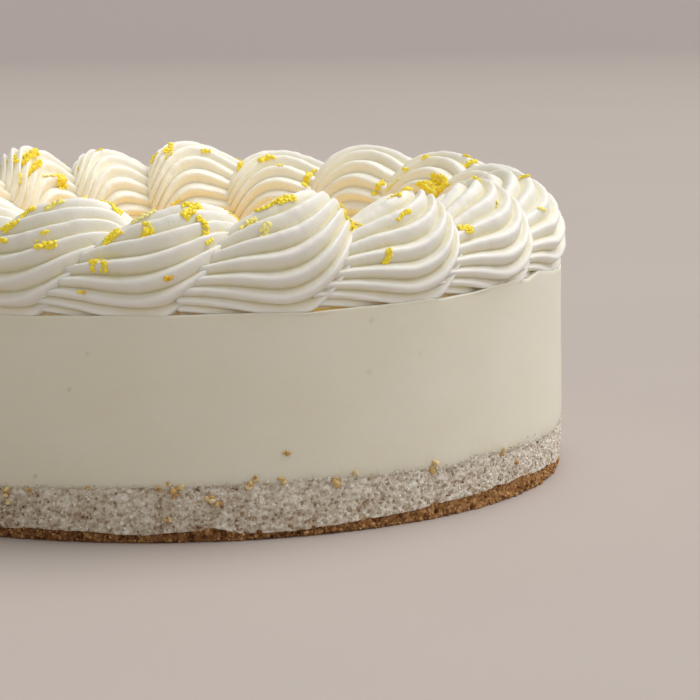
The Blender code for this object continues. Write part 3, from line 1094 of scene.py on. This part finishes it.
@dataclass
class SpongeLayer:
    """Pale open sponge: a torn side with pores, and loose crumb standing on it."""

    layering: Layering
    radius: float = 99.45 * MM
    columns: int = 1400
    side_rows: int = 46
    grain_count: int = 8200
    under_edge: float = 0.3 * MM
    over_edge: float = 0.1 * MM
    crumb_low: float = 0.1 * MM
    crumb_high: float = 0.15 * MM
    crumb_radius: float = 99.9 * MM
    proudest: float = 99.85 * MM
    stray_radius: float = 99.95 * MM
    stray_share: float = 0.09
    stray_rise: float = 0.32
    grain: float = 0.27
    pale_from: float = 7.0 * MM
    pale_rise: float = 5.0 * MM
    coarse_cell: float = 4.5 * MM
    fine_cell: float = 0.9 * MM
    pore: float = 1.15 * MM
    hole: float = 3.1 * MM
    pore_edge: float = 0.55
    hole_edge: float = 0.42
    # Tone added towards the right: painted light from the right
    painted_right_light: float = 0.13
    seed: int = 61

    def side_radius(self, angle: Array, height: Array) -> tuple[Array, Array]:
        """Torn side: pores bite in, coarse and fine noise push in and out.

        Args:
            angle: angles from the front, in radians.
            height: heights above the stand.

        Returns:
            Radius, and a tone that is low in the pores and holes as painted shade, and higher to the right
            as painted light.
        """
        points = ring_points(self.radius, angle, height)
        pores = np.clip(1.0 - pore_distance(points, self.pore, self.seed) / self.pore_edge, 0.0, 1.0)
        holes = np.clip(1.0 - pore_distance(points, self.hole, self.seed + 3) / self.hole_edge, 0.0, 1.0)
        coarse = rough_noise(points, self.coarse_cell, self.seed + 5, 3)
        fine = rough_noise(points, self.fine_cell, self.seed + 9, 2)
        deep = 0.50 * pores + 0.40 * holes
        radius = self.radius - MM * (0.15 + deep - 0.18 * coarse - 0.20 * fine)
        upper = np.clip((height - self.pale_from) / self.pale_rise, 0.0, 1.0)
        # Tone low in the pores and holes: painted shade
        tone = 0.60 - 0.45 * pores - 0.22 * holes + 0.10 * coarse + 0.22 * fine
        # Lighter towards the right: painted light
        tone = tone + self.painted_right_light * np.sin(angle)
        return np.minimum(radius, self.proudest), tone + 0.10 * upper

    def build(self, finish: Finish) -> list[Piece]:
        """Make the sponge and the crumb on its side.

        Args:
            finish: material of both.

        Returns:
            The two pieces.
        """
        angle = full_circle(self.columns)
        low = self.layering.biscuit_edge(angle) - self.under_edge
        high = self.layering.sponge_edge(angle) + self.over_edge
        share = np.linspace(0.0, 1.0, self.side_rows)[:, None]
        height = low + (high - low) * share
        radius, tone = self.side_radius(np.broadcast_to(angle, height.shape), height)
        side = ring_points(radius, angle[None, :], height)
        band = crumb_band(angle, low, high, side, tone, 0.5).make("sponge_band", finish)
        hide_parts("sponge_layer")
        return [band, self.crumb(finish)]

    def crumb(self, finish: Finish) -> Piece:
        """Loose crumb over the whole side, thinning out above the edge of the filling.

        Args:
            finish: its material.

        Returns:
            One piece of many grains.
        """
        rng = np.random.default_rng(self.seed)
        angle = rng.uniform(0.0, TURN, self.grain_count)
        low = self.layering.biscuit_edge(angle) + self.crumb_low
        high = self.layering.sponge_edge(angle) + self.crumb_high
        share = rng.uniform(0.0, 1.0, self.grain_count)
        stray = rng.uniform(size=self.grain_count) < self.stray_share
        height = low + (high - low) * share
        height = np.where(stray, high + rng.exponential(self.stray_rise, self.grain_count) * MM, height)
        radius, tone = self.side_radius(angle, height)
        radius = np.where(height > high, self.stray_radius, radius)
        size = rng.lognormal(math.log(self.grain), 0.28, self.grain_count) * MM
        size = np.where(stray, 0.7 * size, size)
        centres = ring_points(np.minimum(radius, self.crumb_radius) + 0.10 * size, angle, height)
        sizes = size[:, None] * rng.uniform(0.55, 1.35, (self.grain_count, 3))
        tones = np.clip(tone + rng.normal(0.10, 0.28, self.grain_count), np.where(stray, 0.5, 0.0), 1.0)
        frames = turned_frames(self.grain_count, rng)
        grains = loose_grains(centres, frames, sizes, tones, GrainForm.CRUMB, rng)
        made = grains.make("sponge_grains", finish)
        return made


@dataclass
class CrumbBase:
    """Golden brown crumb base: craggy band and packed grains."""

    layering: Layering
    radius: float = 98.5 * MM
    columns: int = 1400
    side_rows: int = 16
    grain_count: int = 5200
    grain: float = 0.30
    foot_inset: float = 0.35 * MM
    foot_power: int = 6
    proud: float = 0.30 * MM
    crack: float = 0.75 * MM
    coarse: float = 0.28 * MM
    fine: float = 0.16 * MM
    coarse_cell: float = 5.0 * MM
    fine_cell: float = 0.8 * MM
    lump: float = 1.7 * MM
    # Tone added towards the right: painted light from the right
    painted_right_light: float = 0.20
    seed: int = 71

    def side_radius(self, angle: Array, height: Array) -> tuple[Array, Array]:
        """Craggy side: cracks between packed lumps.

        Args:
            angle: angles from the front, in radians.
            height: heights above the stand.

        Returns:
            Radius, and a tone that is low in the cracks as painted shade, and higher to the right as painted
            light.
        """
        points = ring_points(self.radius, angle, height)
        lumps = np.clip(pore_distance(points, self.lump, self.seed), 0.0, 1.0)
        coarse = rough_noise(points, self.coarse_cell, self.seed + 5, 2)
        fine = rough_noise(points, self.fine_cell, self.seed + 9, 2)
        radius = self.radius + self.proud - self.crack * lumps ** 2 + self.coarse * coarse + self.fine * fine
        # Tone low in the cracks: painted shade; higher to the right: painted light
        tone = 0.57 - 0.42 * lumps ** 2 + 0.12 * coarse + 0.12 * fine + self.painted_right_light * np.sin(angle)
        return radius, tone

    def build(self, finish: Finish) -> list[Piece]:
        """Make the base and its grains.

        Args:
            finish: material of both.

        Returns:
            The two pieces.
        """
        angle = full_circle(self.columns)
        high = self.layering.biscuit_edge(angle)
        share = np.linspace(0.0, 1.0, self.side_rows)[:, None]
        height = high * share
        radius, tone = self.side_radius(np.broadcast_to(angle, height.shape), height)
        radius = radius - self.foot_inset * (1.0 - share) ** self.foot_power
        side = ring_points(radius, angle[None, :], height)
        band = crumb_band(angle, np.zeros_like(angle), high, side, tone, 0.4).make("biscuit_band", finish)
        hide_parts("biscuit_base")
        return [band, self.crumb(finish)]

    def crumb(self, finish: Finish) -> Piece:
        """Packed grains over the whole side, none of them below the stand.

        Args:
            finish: its material.

        Returns:
            One piece of many grains.
        """
        rng = np.random.default_rng(self.seed)
        angle = rng.uniform(0.0, TURN, self.grain_count)
        size = rng.lognormal(math.log(self.grain), 0.35, self.grain_count) * MM
        height = self.layering.biscuit_edge(angle) * rng.uniform(0.0, 1.0, self.grain_count)
        height = np.maximum(height, 1.3 * size)
        radius, tone = self.side_radius(angle, height)
        sizes = size[:, None] * rng.uniform(0.6, 1.3, (self.grain_count, 3))
        tones = np.clip(tone + rng.normal(0.05, 0.22, self.grain_count), 0.02, 1.0)
        grains = loose_grains(ring_points(radius, angle, height), turned_frames(self.grain_count, rng),
                              sizes, tones, GrainForm.CRUMB, rng)
        grains.points[:, 2] = np.maximum(grains.points[:, 2], 0.0)
        loose = grains.make("biscuit_grains", finish)
        return loose


@dataclass
class ToastedCrumbs:
    """Golden crumbs caught in the side of the sponge, as seen and all round."""

    viewpoint: Viewpoint
    layering: Layering
    radius: float = 99.65 * MM
    proud_radius: float = 99.9 * MM
    seen: tuple[tuple[float, float, float], ...] = (
        (7, 492, 1.2), (8, 502, 0.8), (28, 491, 0.7), (86, 488, 0.6), (158, 488, 0.8),
        (168, 484, 0.6), (174, 494, 1.1), (180, 487, 0.9), (210, 499, 1.2),
        (220, 503, 0.8), (250, 484, 1.2), (254, 478, 0.8), (282, 479, 0.9),
        (285, 453, 0.8), (339, 482, 1.1), (354, 473, 0.7), (434, 465, 1.2),
        (168, 520, 0.9), (502, 452, 0.8), (517, 462, 0.7))
    hidden: int = 40
    clump: int = 4
    scatter: float = 0.42
    seed: int = 81

    def build(self, finish: Finish) -> Piece:
        """Make the crumbs, each a clump of four flattish grains.

        Args:
            finish: their material.

        Returns:
            One piece.
        """
        rng = np.random.default_rng(self.seed)
        spots = np.array([(*self.viewpoint.on_side(across, down, self.radius), size)
                          for across, down, size in self.seen])
        angle = rng.uniform(math.radians(85.0), math.radians(325.0), self.hidden)
        height = self.layering.sponge_edge(angle) - rng.uniform(0.2, 6.0, self.hidden) * MM
        hidden = np.stack([angle, height, rng.uniform(0.6, 1.2, self.hidden)], axis=-1)
        clumps = np.repeat(np.concatenate([spots, hidden]), self.clump, axis=0)
        count = len(clumps)
        size = clumps[:, 2] * MM * rng.uniform(0.60, 1.00, count)
        angle = clumps[:, 0] + rng.normal(0.0, self.scatter, count) * clumps[:, 2] * MM / self.radius
        height = clumps[:, 1] + rng.normal(0.0, self.scatter, count) * clumps[:, 2] * MM
        above = height > self.layering.sponge_edge(angle)
        centres = ring_points(np.where(above, self.proud_radius, self.radius), angle, height)
        sizes = size[:, None] * rng.uniform([0.8, 0.7, 0.45], [1.25, 1.1, 0.80], (count, 3))
        grains = loose_grains(centres, turned_frames(count, rng), sizes, rng.uniform(0.1, 1.0, count),
                              GrainForm.FLAKE, rng)
        made = grains.make("toasted_crumbs", finish)
        return made


# Piping

class Twist(NamedTuple):
    """Turns of the ridges, skew in plan, share of the way that the head reaches, bluntness of its crown."""

    turns: float
    skew: float
    reach: float
    crown: float


class Winding(Enum):
    """The two ways that the shells are wound."""

    LOOSE = Twist(0.16, 0.48, 0.47, 1.9)
    TIGHT = Twist(0.28, 0.25, 0.42, 2.2)


class ShellPlan(NamedTuple):
    """Where one crest stands, in degrees, how high it is, in millimetres, and its winding."""

    angle: float
    height: float
    winding: Winding


CRESTS = ((-18.6, 25.1), (0.2, 23.6), (19.1, 25.8), (39.6, 24.0), (58.9, 24.4), (79.8, 24.0), (100.6, 22.8),
          (121.1, 24.6), (142.3, 25.0), (162.6, 23.0), (181.8, 26.0), (198.7, 24.4), (215.0, 26.8),
          (233.0, 25.8), (251.3, 25.0), (269.7, 26.2), (288.0, 25.4), (306.3, 26.2), (323.2, 24.2))
LOOSELY_WOUND = (0, 1, 14)
SHELL_PLANS = tuple(ShellPlan(angle, height, Winding.LOOSE if number in LOOSELY_WOUND else Winding.TIGHT)
                    for number, (angle, height) in enumerate(CRESTS))


@dataclass
class Piping:
    """Ring of piped shells: ribbed strands whose heads cover the tails of the next."""

    sole: float = 54.5 * MM
    base: float = 55.4 * MM
    radius: float = 85.6 * MM
    half_width: float = 15.0 * MM
    waist: float = 8.0 * MM
    below: float = 12.5 * MM
    roundness: float = 1.8
    squareness: float = 2.7
    ridges: int = 22
    ridge_depth: float = 2.4 * MM
    crest_place: float = 0.6
    tail_size: float = 0.50
    rise_power: float = 1.3
    tail_breadth: float = 0.82
    tail_lean: float = 1.2 * MM
    head_lean: float = -2.5 * MM
    foot_bluntness: float = 1.3
    waist_bluntness: float = 2.7
    pole_height: float = 13.5 * MM
    untwist: float = 0.03
    untwist_swing: float = 0.06
    twist_start: float = -12.0 * MM
    twist_power: float = 2.6
    tail_overlap: float = -0.5 * MM
    outline_points: int = 721
    columns: int = 176
    tail_rows: int = 52
    head_rows: int = 34
    head_closing: float = 0.995
    twist_mean: float = 0.75
    twist_swing: float = 0.25
    twist_turn: float = 0.3
    groove_power: float = 1.45
    groove_ease: float = 0.3
    nudge: float = 0.002
    wall: float = 0.5 * MM
    top_gap: float = 0.05 * MM
    # Spread of the painted glow on the shells: width on the inner side, rise from the sole, share at the
    # foot
    glow_width: float = 9.0 * MM
    glow_rise: float = 1.3 * MM
    foot_glow: float = 0.85
    swell: float = 0.16 * MM
    swell_cell: float = 6.0 * MM
    tear: float = 0.07 * MM
    tear_cell: float = 1.1 * MM
    raggedness: float = 0.20 * MM
    ragged_cell: float = 1.7 * MM
    ragged_from: float = 9.0 * MM
    ragged_rise: float = 9.0 * MM

    def reach(self, number: int) -> tuple[float, float]:
        """Tail start and head end of a shell along the ring, from its crest.

        Args:
            number: which shell.

        Returns:
            A length behind the crest, below zero, and one ahead of it.
        """
        here = SHELL_PLANS[number].angle
        before = (here - SHELL_PLANS[number - 1].angle) % 360.0
        after = (SHELL_PLANS[(number + 1) % len(SHELL_PLANS)].angle - here) % 360.0
        return (self.tail_overlap - math.radians(before) * self.radius,
                SHELL_PLANS[number].winding.value.reach * math.radians(after) * self.radius)

    def outline(self, height: float) -> tuple[Array, Array, Array]:
        """Fullest section: a squarish ellipse, squarer below its waist.

        Args:
            height: height of the crest above the base.

        Returns:
            Share of the length round it, sideways and upwards place.
        """
        turn = np.linspace(0.0, TURN, self.outline_points)
        cosine, sine = np.cos(turn), np.sin(turn)
        power = 2.0 / np.where(sine < 0.0, self.squareness, self.roundness)
        across = np.sign(cosine) * np.abs(cosine) ** power * self.half_width
        rise = np.abs(sine) ** power
        upward = np.where(sine < 0.0, -rise * self.below, rise * (height - self.waist))
        steps = np.hypot(np.diff(across), np.diff(upward))
        return np.concatenate([[0.0], np.cumsum(steps)]) / np.sum(steps), across, upward

    def surface(self, number: int) -> tuple[Array, Array]:
        """Points of one shell over stations along the ring and lines round the strand.

        Each section is the full outline, shrunk towards the base at the tail
        and towards a pole at the head, where it closes as a superellipse that is
        blunter with height, and turned by the winding.  A ridge pushes each line
        out along the section's normal by depth times (0.5 - away ** power), where
        away runs from 0 on a crest to 1 in a groove, faster on one side.

        Args:
            number: which shell.

        Returns:
            Rows of points, and how far each is from a groove, 0 to 1.
        """
        plan = SHELL_PLANS[number]
        wind = plan.winding.value
        tail, head = self.reach(number)
        closing = np.linspace(0.0, 0.5 * math.pi * self.head_closing, self.head_rows)
        stations = np.concatenate([np.linspace(tail, 0.0, self.tail_rows, endpoint=False),
                                   head * np.sin(closing)])
        lines = 1.0 - np.arange(self.columns) / self.columns
        share, across, upward = self.outline(plan.height * MM)
        grown = np.clip((stations - tail) / -tail, 0.0, 1.0)
        rise = np.sin(0.5 * math.pi * grown)[:, None] ** self.rise_power
        size = self.tail_size + (1.0 - self.tail_size) * rise
        breadth = self.tail_breadth + (1.0 - self.tail_breadth) * rise
        ahead = np.clip(stations / head, 0.0, 1.0)[:, None]
        wound = np.clip((stations - self.twist_start) / (head - self.twist_start), 0.0, 1.0)[:, None]
        wound = wound ** self.twist_power
        weight = self.twist_mean + self.twist_swing * np.cos(TURN * (lines - self.twist_turn))
        level = self.untwist + self.untwist_swing * np.cos(TURN * lines)
        turn = (lines[None, :] + wind.turns * wound * weight - rise * level) % 1.0
        side, lift = np.interp(turn, share, across), np.interp(turn, share, upward)
        later, sooner = (turn + self.nudge) % 1.0, (turn - self.nudge) % 1.0
        run, climb = (np.interp(later, share, way) - np.interp(sooner, share, way)
                      for way in (across, upward))
        length = np.hypot(run, climb)
        blunt = np.interp(self.waist + lift, (0.0, self.waist, plan.height * MM),
                          (self.foot_bluntness, self.waist_bluntness, wind.crown))
        cap = (1.0 - ahead ** blunt) ** (1.0 / blunt)
        phase = (lines * self.ridges) % 1.0
        crest = self.crest_place
        away = np.where(phase < crest, 1.0 - phase / crest, (phase - crest) / (1.0 - crest))[None, :]
        relief = self.ridge_depth * (0.5 - away ** (self.groove_power - self.groove_ease * wound)) * size
        side = (side * breadth + relief * climb / length) * cap
        lift = (self.waist + lift) * size - relief * run / length
        lift = self.pole_height * (1.0 - cap) + lift * cap
        lean = self.tail_lean * (1.0 - rise) + self.head_lean * ahead ** 1.5
        along = stations[:, None] - wind.skew * side
        angle = math.radians(plan.angle) + along / self.radius
        points = ring_points(self.radius + side + lean, angle, self.base + lift)
        return points, np.broadcast_to(1.0 - away, turn.shape)

    def roughened(self, points: Array, ridge: Array, number: int) -> Array:
        """Small swells and tears along the normals, then flat at the sole and inside the box.

        The upper ridges are also ragged: noise times ridge squared times height share.

        Args:
            points: rows of points.
            ridge: how far each point is from a groove, 0 to 1.
            number: which shell, for its seed.

        Returns:
            The points moved.
        """
        normals = grid_normals(points)
        swell = self.swell * rough_noise(points, self.swell_cell, 100 + number, 2)
        tear = self.tear * rough_noise(points, self.tear_cell, 200 + number, 2)
        upper = np.clip((points[..., 2] - self.base - self.ragged_from) / self.ragged_rise, 0.0, 1.0)
        notches = rough_noise(points, self.ragged_cell, 300 + number, 2)
        ragged = self.raggedness * ridge ** 2 * upper * notches
        points = points + normals * (swell + tear + ragged)[..., None]
        for axis in range(2):
            points[..., axis] = soft_limit(points[..., axis], CAD_LOW[axis], CAD_HIGH[axis], self.wall)
        points[..., 2] = soft_limit(points[..., 2], -1.0, CAD_HIGH[2] - self.top_gap, self.wall)
        points[..., 2] = np.maximum(points[..., 2], self.sole)
        return points

    def painted_glow(self, points: Array) -> Array:
        """Share of painted glow, standing in for warm light from the curd and through the cream: full on the
        inner side, and fading up from the sole.

        Args:
            points: places with a last axis of 3.

        Returns:
            One share for each place, 0 to 1.
        """
        inner = np.clip((self.radius - np.hypot(points[:, 0], points[:, 1])) / self.glow_width, 0.0, 1.0)
        foot = np.exp(-np.maximum(points[:, 2] - self.sole, 0.0) / self.glow_rise)
        return np.maximum(inner * inner * (3.0 - 2.0 * inner), self.foot_glow * foot)

    def build(self, finish: Finish) -> tuple[list[Piece], Array, Array]:
        """Make all shells.

        Args:
            finish: their material.

        Returns:
            The pieces, and the points and normals of all their surfaces.
        """
        pieces, places, normals = [], [], []
        for number in range(len(SHELL_PLANS)):
            points, ridge = self.surface(number)
            points = self.roughened(points, ridge, number)
            surface = closed_rows(points, points[0].mean(axis=0), points[-1].mean(axis=0))
            surface.marks["ridge"] = np.append(ridge.ravel(), [0.5, 0.5])
            surface.marks["painted_glow"] = self.painted_glow(surface.points)
            made = surface.make("piped_shell_%02d" % (number + 1), finish)
            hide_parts("shell_%02d" % (number + 1))
            pieces.append(made)
            places.append(points.reshape(-1, 3))
            normals.append(grid_normals(points).reshape(-1, 3))
        return pieces, np.concatenate(places), np.concatenate(normals)


# Zest

class Shred(NamedTuple):
    """One seen shred: pixel across and down, length and width in mm, lean in degrees, tone."""

    across: float
    down: float
    length: float
    width: float
    lean: float
    tone: float = 0.45


SEEN_SHREDS = tuple(Shred(*row) for row in (
    (84, 202, 3.6, 1.7, 90), (51, 216, 3.2, 2.0, 20), (55, 205, 4.4, 1.1, 25, 0.7), (27, 213, 5.0, 1.5, 33),
    (10, 225, 4.8, 1.6, 20), (3, 239, 2.0, 1.0, 0), (43, 234, 1.6, 0.8, 30, 0.6), (46, 246, 5.2, 2.0, -10),
    (116, 206, 3.4, 1.8, -50), (112, 237, 5.6, 1.9, 35), (143, 216, 6.2, 1.4, 25, 0.9),
    (147, 233, 5.0, 2.3, 80), (93, 266, 3.0, 1.5, 70), (98, 260, 3.4, 1.2, 10, 0.7),
    (103, 266, 2.4, 1.6, 80), (169, 277, 1.9, 1.3, 20, 0.02), (191, 205, 4.6, 1.7, -10),
    (188, 213, 2.6, 2.2, 60), (200, 209, 3.4, 1.5, -60), (204, 221, 3.6, 1.6, -80),
    (205, 236, 4.0, 1.7, -88), (215, 249, 3.4, 0.9, -40), (176, 202, 2.4, 1.0, 5),
    (80, 292, 2.4, 0.6, 0, 0.3), (28, 156, 6.4, 5.0, 75, 0.35), (33, 168, 6.4, 4.4, 80, 0.35),
    (20, 177, 2.6, 1.6, 60, 0.8), (62, 181, 5.0, 3.6, 80, 0.35), (50, 175, 2.6, 1.4, 60, 0.9),
    (99, 150, 1.8, 1.0, -30), (151, 159, 4.2, 1.5, 25), (170, 147, 3.8, 1.7, 62), (207, 151, 2.4, 1.4, 10),
    (240, 167, 2.8, 1.8, 75), (266, 158, 4.6, 1.7, 25), (278, 164, 2.0, 1.4, 0, 0.7),
    (308, 178, 7.0, 1.7, 66), (378, 186, 6.2, 1.6, 55), (267, 203, 5.0, 1.9, 65), (286, 198, 4.0, 2.3, 25),
    (249, 225, 4.2, 1.7, 35, 0.9), (264, 232, 4.8, 1.8, 82, 0.85), (345, 209, 2.8, 1.3, -50),
    (350, 218, 3.2, 1.0, -65), (354, 227, 3.0, 1.2, -60), (355, 236, 3.0, 0.8, -25, 0.6),
    (387, 257, 4.0, 1.6, 85), (394, 193, 3.6, 1.6, 35), (406, 188, 4.6, 1.6, 15), (428, 186, 6.0, 5.0, 10),
    (438, 190, 6.4, 5.2, 40), (441, 183, 5.4, 4.0, 0), (406, 214, 3.8, 0.9, 30, 0.3),
    (468, 228, 3.2, 2.4, -60), (478, 178, 2.6, 1.3, -30), (468, 163, 7.2, 1.5, 18),
    (407, 171, 1.6, 1.0, 0, 0.6), (525, 176, 2.0, 1.0, -30), (542, 208, 2.4, 0.9, 10, 0.8),
    (497, 205, 1.4, 0.8, 60, 0.8)))


@dataclass
class LemonZest:
    """Grated zest: shreds of small moist grains lying on the shells."""

    viewpoint: Viewpoint
    places: Array
    normals: Array
    grain: float = 0.46 * MM
    cover: float = 0.21
    spill: float = 1.22
    least_spread: float = 0.1 * MM
    most_stretch: float = 1.7
    near_pixels: float = 3.0
    near_depth: float = 4.0 * MM
    patch: float = 7.0 * MM
    lowest: float = 62.0 * MM
    least_upward: float = 0.15
    wall: float = 0.15 * MM
    hidden_for_shell: int = 5
    seed: int = 91

    def facing(self) -> Array:
        """Which surface points turn towards the camera."""
        return ((self.places - self.viewpoint.eye()) * self.normals).sum(axis=1) < 0.0

    def seen_spots(self) -> list[tuple[int, Array, Shred]]:
        """Nearest visible surface point under each seen shred, and its direction there.

        Returns:
            Vertex number, direction along the shred and the shred.
        """
        right, up, _ = self.viewpoint.axes()
        across, down, depth = self.viewpoint.pixels(self.places)
        facing = self.facing()
        spots = []
        for shred in SEEN_SHREDS:
            gap = np.hypot(across - shred.across, down - shred.down)
            near = np.nonzero((gap < self.near_pixels) & facing)[0]
            if len(near) == 0:
                near = np.array([int(np.argmin(gap + np.where(facing, 0.0, 1e3)))])
            front = near[depth[near] < depth[near].min() + self.near_depth]
            best = int(front[np.argmin(gap[front])])
            lean = math.radians(shred.lean)
            spots.append((best, math.cos(lean) * right + math.sin(lean) * up, shred))
        return spots

    def hidden_spots(self, rng: np.random.Generator) -> list[tuple[int, Array, Shred]]:
        """Random shreds on upward faces that the picture doesn't show.

        Args:
            rng: seeded source.

        Returns:
            Vertex number, direction along the shred and the shred.
        """
        across, down, _ = self.viewpoint.pixels(self.places)
        facing = self.facing()
        shown = facing & (across > -5.0) & (across < FRAME_SIDE) & (down > 0.0)
        upward = (self.normals[:, 2] > self.least_upward) & (self.places[:, 2] > self.lowest)
        open_places = np.nonzero(upward & ~shown)[0]
        chosen = rng.choice(open_places, self.hidden_for_shell * len(SHELL_PLANS), replace=False)
        return [(int(index), rng.normal(size=3),
                 Shred(0, 0, rng.uniform(1.8, 6.0), rng.uniform(0.9, 2.3), 0, rng.uniform(0.3, 0.95)))
                for index in chosen]

    def build(self, finish: Finish) -> Piece:
        """Make all shreds: grains strung along a bent line and pressed onto the surface.

        Args:
            finish: their material.

        Returns:
            One piece.
        """
        rng = np.random.default_rng(self.seed)
        centres, frames, sizes, tones = [], [], [], []
        for index, direction, shred in self.seen_spots() + self.hidden_spots(rng):
            normal = self.normals[index]
            ahead = direction - normal * (direction @ normal)
            ahead /= np.linalg.norm(ahead)
            beside = np.cross(normal, ahead)
            shortened = abs(ahead @ direction) / np.linalg.norm(direction)
            length = shred.length * min(1.0 / shortened, self.most_stretch)
            count = max(6, int(length * shred.width / self.cover))
            along = rng.uniform(-0.5, 0.5, count) * length * MM
            bend = rng.uniform(-0.16, 0.16) * length * MM
            spread = np.maximum(self.spill * shred.width * MM - 1.2 * self.grain, self.least_spread)
            aside = rng.uniform(-0.5, 0.5, count) * spread
            aside += bend * (4.0 * (along / (length * MM)) ** 2 - 0.3)
            wanted = self.places[index] + along[:, None] * ahead + aside[:, None] * beside
            close = np.nonzero(np.linalg.norm(self.places - self.places[index], axis=1) < self.patch)[0]
            close = close[self.normals[close] @ normal > 0.0]
            gaps = np.linalg.norm(wanted[:, None] - self.places[close][None], axis=2)
            seat = close[np.argmin(gaps, axis=1)]
            drop = ((self.places[seat] - wanted) * self.normals[seat]).sum(axis=1)[:, None]
            size = self.grain * rng.uniform(0.65, 1.35, count)
            wanted = wanted + drop * self.normals[seat]
            wanted += self.normals[seat] * (rng.uniform(0.05, 0.55, count) * size)[:, None]
            centres.append(wanted)
            frames.append(np.tile(np.stack([ahead, beside, normal]), (count, 1, 1)))
            sizes.append(size[:, None] * rng.uniform([0.9, 0.8, 0.35], [1.6, 1.2, 0.60], (count, 3)))
            tones.append(np.clip(shred.tone + 0.05 + rng.normal(0.0, 0.10, count), 0.0, 1.0))
        grains = loose_grains(np.concatenate(centres), np.concatenate(frames), np.concatenate(sizes),
                              np.concatenate(tones), GrainForm.SHRED, rng)
        for axis in range(3):
            grains.points[:, axis] = soft_limit(grains.points[:, axis], CAD_LOW[axis], CAD_HIGH[axis],
                                                self.wall)
        made = grains.make("lemon_zest", finish)
        return made


def report(piece: Piece) -> None:
    """Log the name, faces and height of one piece."""
    top = max(corner[2] for corner in piece.bound_box)
    log.info("%s: %d faces, top at %.1f mm", piece.name, len(piece.data.polygons), top / MM)


def main() -> None:
    """Build the cake and its studio."""
    logging.basicConfig(level=logging.INFO, format="%(message)s")
    bpy.context.scene.view_settings.view_transform = "Standard"
    viewpoint = Viewpoint()
    viewpoint.make()
    Studio().make(PaleFloor().make())
    layering = Layering()
    pieces = [CreamFilling(layering, viewpoint).build(SetCream().make()),
              CurdPool().build(LemonCurd().make())]
    pieces += SpongeLayer(layering).build(SPONGE_CRUMB.make())
    pieces += CrumbBase(layering).build(BISCUIT_CRUMB.make())
    pieces.append(ToastedCrumbs(viewpoint, layering).build(TOASTED_CRUMB.make()))
    shells, places, normals = Piping().build(WhippedCream().make())
    pieces += shells
    pieces.append(LemonZest(viewpoint, places, normals).build(GratedZest().make()))
    for piece in pieces:
        report(piece)


if __name__ == "__main__":
    main()
